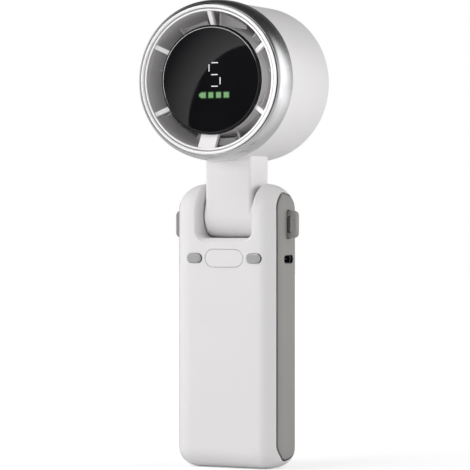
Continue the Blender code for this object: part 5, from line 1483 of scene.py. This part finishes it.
# Painted highlight on the flat line round the glass's edge.
paint_finish_or_light(lens, glass_edge_highlight, on_glass_edge)
dress(number_bars(), white_light, "head", "black_lens")
dress(battery_bars(), green_light, "head", "black_lens")
dress(battery_glow(), green_glow, "head", "black_lens")
dress(vane_ring(), duct_grey, "head", "duct_grey", "guide_vane_ring")
dress(inlet_grille(), white, "head", "white_plastic", "rear_grille")
dress(fan_wheel(), duct_grey, "rotor", "duct_grey", "impeller")

carried_over = {
    steel: ["hinge_pin", "shaft_bearing_front", "shaft_bearing_rear", "rotor_bell", "motor_shaft"],
    bronze: ["friction_sleeve_left", "friction_sleeve_right"],
    board_green: ["control_board", "charge_board", "display_board", "motor_driver_board"],
    dark_plastic_and_shade: ["battery_holder", "power_switch", "speed_down_switch", "speed_up_switch"],
    magnet: ["magnet_ring"],
    sleeve_blue: ["battery_cell_left", "battery_cell_right"],
    copper: ["motor_stator"],
}
for finish, nodes in carried_over.items():
    for node in nodes:
        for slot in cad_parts[node].material_slots:
            slot.material = finish


# Floor, light and camera

PANEL_SIZE = 150.0 * MM
PANEL_PLACE = (-423.1 * MM, -925.5 * MM, 206.4 * MM)
CURVE_MIDDLE = (35.9 * MM, 0.0, -35.2 * MM)
CURVE_HALF_WIDTH = 55.0 * MM
CURVE_HALF_HEIGHT = 61.9 * MM
FLOOR_SIZE = 6.0
FLOOR_DROP = 0.02 * MM
LAMP_TARGET = (0, 0, 100.0 * MM)


def light_path(owner):
    return owner.node_tree.nodes.new("ShaderNodeLightPath").outputs


def emission(owner, strength):
    return add_node(owner, "ShaderNodeEmission", None, {"Strength": strength}).outputs["Emission"]


def floor_material():
    """A pale floor that the camera sees as white, apart from the object's shadow, with a painted pool of
    light that only reflections see.
    """
    material = new_material("floor_look", (0.80, 0.80, 0.80), 0.8)
    place = own_place(material)
    grain = spread(material, noise(material, place, 30.0, 3.0), 0.0, 1.0)
    colour = blended(material, grain, (0.795, 0.795, 0.795), (0.805, 0.805, 0.805))
    feed(material, principled(material).inputs["Base Color"], colour)
    reach = vector_computed(material, "LENGTH", place)
    lift = spread(material, reach, 0.48, 0.80, 0.12, 1.2)
    raised = product(material, light_path(material)["Is Camera Ray"], lift)
    x, y, _ = axes(material, vector_computed(material, "NORMALIZE", place))
    # Painted light: a pool of light on the floor to the right of and behind the object, for glossy rays only.
    painted_light_pool = product(material, spread(material, reach, 0.2, 0.85, 0.15, 0.75),
                   eased(material, x, 0.36, 0.60), eased(material, y, 0.0, 0.34))
    mirrored = light_path(material)["Is Glossy Ray"]
    glow = emission(material, computed(material, "MULTIPLY_ADD", mirrored, painted_light_pool, raised))
    both = add_node(material, "ShaderNodeAddShader", None, {0: principled(material).outputs["BSDF"], 1: glow})
    feed(material, material.node_tree.nodes["Material Output"].inputs["Surface"], both.outputs["Shader"])
    return material


def plate(name, axis, size, place, material):
    """A flat square across the named axis, which isn't part of the object."""
    shape = bmesh.new()
    corners = [(u * size / 2, v * size / 2) for u, v in ((-1, -1), (1, -1), (1, 1), (-1, 1))]
    shape.faces.new([shape.verts.new(placed(axis, corner, 0)) for corner in corners])
    made = add_object(name, shape, place)
    made.data.materials.append(material)
    return made


def panel_material():
    """A bright plate with a dark oval, which fades away from the oval's edge at a reach of 1."""
    material = bpy.data.materials.new("panel_look")
    material.use_nodes = True
    material.node_tree.nodes.clear()
    from_middle = vector_computed(material, "SUBTRACT", own_place(material), CURVE_MIDDLE)
    shares = (1 / CURVE_HALF_WIDTH, 0.0, 1 / CURVE_HALF_HEIGHT)
    reach = vector_computed(material, "LENGTH", vector_computed(material, "MULTIPLY", from_middle, shares))
    outside = spread(material, reach, 0.0, 1.0, 0.99, 1.01)
    fade = spread(material, reach, 2.0, 0.15, 1.0, 1.5)
    glow = emission(material, product(material, outside, fade))
    feed(material, add_node(material, "ShaderNodeOutputMaterial").inputs["Surface"], glow)
    return material


def background(owner, strength):
    values = {"Color": (1, 1, 1, 1), "Strength": strength}
    return add_node(owner, "ShaderNodeBackground", None, values).outputs["Background"]


def studio_world():
    """White behind the object, and soft light. Polished pieces mirror a dark ceiling and a bright window."""
    world = bpy.data.worlds.new("studio")
    bpy.context.scene.world = world
    world.use_nodes = True
    world.node_tree.nodes.clear()
    seen = light_path(world)
    x, y, z = axes(world, add_node(world, "ShaderNodeTexCoord").outputs["Generated"])
    ceiling = eased(world, z, 0.15, 0.55, 1.0, 0.10)
    rearwards = eased(world, y, -0.3, 0.8, 0.75, 0.30)
    leftwards = eased(world, x, -0.9, -0.4, 0.45, 0.0)
    plain = product(world, ceiling, computed(world, "ADD", rearwards, leftwards))
    window = product(world, 1.4, eased(world, x, 0.40, 0.64), eased(world, y, 0.0, 0.50),
                     eased(world, z, 0.38, 0.75, 1.0, 0.0))
    mirrored = background(world, computed(world, "ADD", plain, window))
    mixed = add_node(world, "ShaderNodeMixShader", None,
                     {0: seen["Is Glossy Ray"], 1: background(world, 0.42), 2: mirrored}).outputs["Shader"]
    seen_white = computed(world, "MAXIMUM", seen["Is Camera Ray"], seen["Is Transmission Ray"])
    last = add_node(world, "ShaderNodeMixShader", None, {0: seen_white, 1: mixed, 2: background(world, 1.0)})
    feed(world, add_node(world, "ShaderNodeOutputWorld").inputs["Surface"], last.outputs["Shader"])


plate("floor", "Z", FLOOR_SIZE, (0, 0, -FLOOR_DROP), floor_material())
# Only glossy rays see the panel. The display's glass mirrors its dark oval to the photo's camera.
panel = plate("reflected_panel", "Y", PANEL_SIZE, PANEL_PLACE, panel_material())
panel.visible_camera = False
panel.visible_diffuse = False
panel.visible_shadow = False
panel.visible_transmission = False
studio_world()


def lamp(name, place, size, power, target=LAMP_TARGET, spread_angle=HALF_TURN):
    data = bpy.data.lights.new(name, "AREA")
    data.shape = "DISK"
    data.size = size
    data.energy = power
    data.spread = spread_angle
    made = bpy.data.objects.new(name, data)
    bpy.context.scene.collection.objects.link(made)
    made.location = place
    aim = Vector(target) - Vector(place)
    made.rotation_euler = aim.to_track_quat("-Z", "Y").to_euler()
    made.visible_camera = False
    made.visible_glossy = False


lamp("key", (-0.91, -0.76, 0.84), 1.2, 8.5)
lamp("fill", (-0.36, -0.98, 0.22), 0.5, 2.7)
lamp("side", (1.17, 0.43, 0.35), 0.6, 6.7)
lamp("narrow", (0.42, -0.93, FAN_HEIGHT), 0.02, 0.0043, (0, 0, FAN_HEIGHT), math.radians(5.0))

FOCAL_PIXELS = 2624.0
PICTURE_PIXELS = 470.0
SENSOR = 36.0
CAMERA_YAW = math.radians(24.6)
CAMERA_DISTANCE = 1071.0 * MM
CAMERA_HEIGHT = 104.3 * MM
AIM_RIGHT_PIXELS = 2.0
AIM_UP_PIXELS = 24.0

camera_data = bpy.data.cameras.new("camera")
camera_data.sensor_width = SENSOR
camera_data.lens = FOCAL_PIXELS / PICTURE_PIXELS * SENSOR
camera_data.clip_start = 0.05
camera = bpy.data.objects.new("camera", camera_data)
bpy.context.scene.collection.objects.link(camera)
backwards = Vector((math.sin(CAMERA_YAW), -math.cos(CAMERA_YAW), 0))
rightwards = Vector((math.cos(CAMERA_YAW), math.sin(CAMERA_YAW), 0))
camera.location = backwards * CAMERA_DISTANCE + Vector((0, 0, CAMERA_HEIGHT))
per_pixel = CAMERA_DISTANCE / FOCAL_PIXELS
middle = Vector((0, 0, CAMERA_HEIGHT)) - rightwards * AIM_RIGHT_PIXELS * per_pixel
middle -= Vector((0, 0, AIM_UP_PIXELS * per_pixel))
camera.rotation_euler = (middle - camera.location).to_track_quat("-Z", "Y").to_euler()
bpy.context.scene.camera = camera
bpy.context.scene.view_settings.view_transform = "Standard"
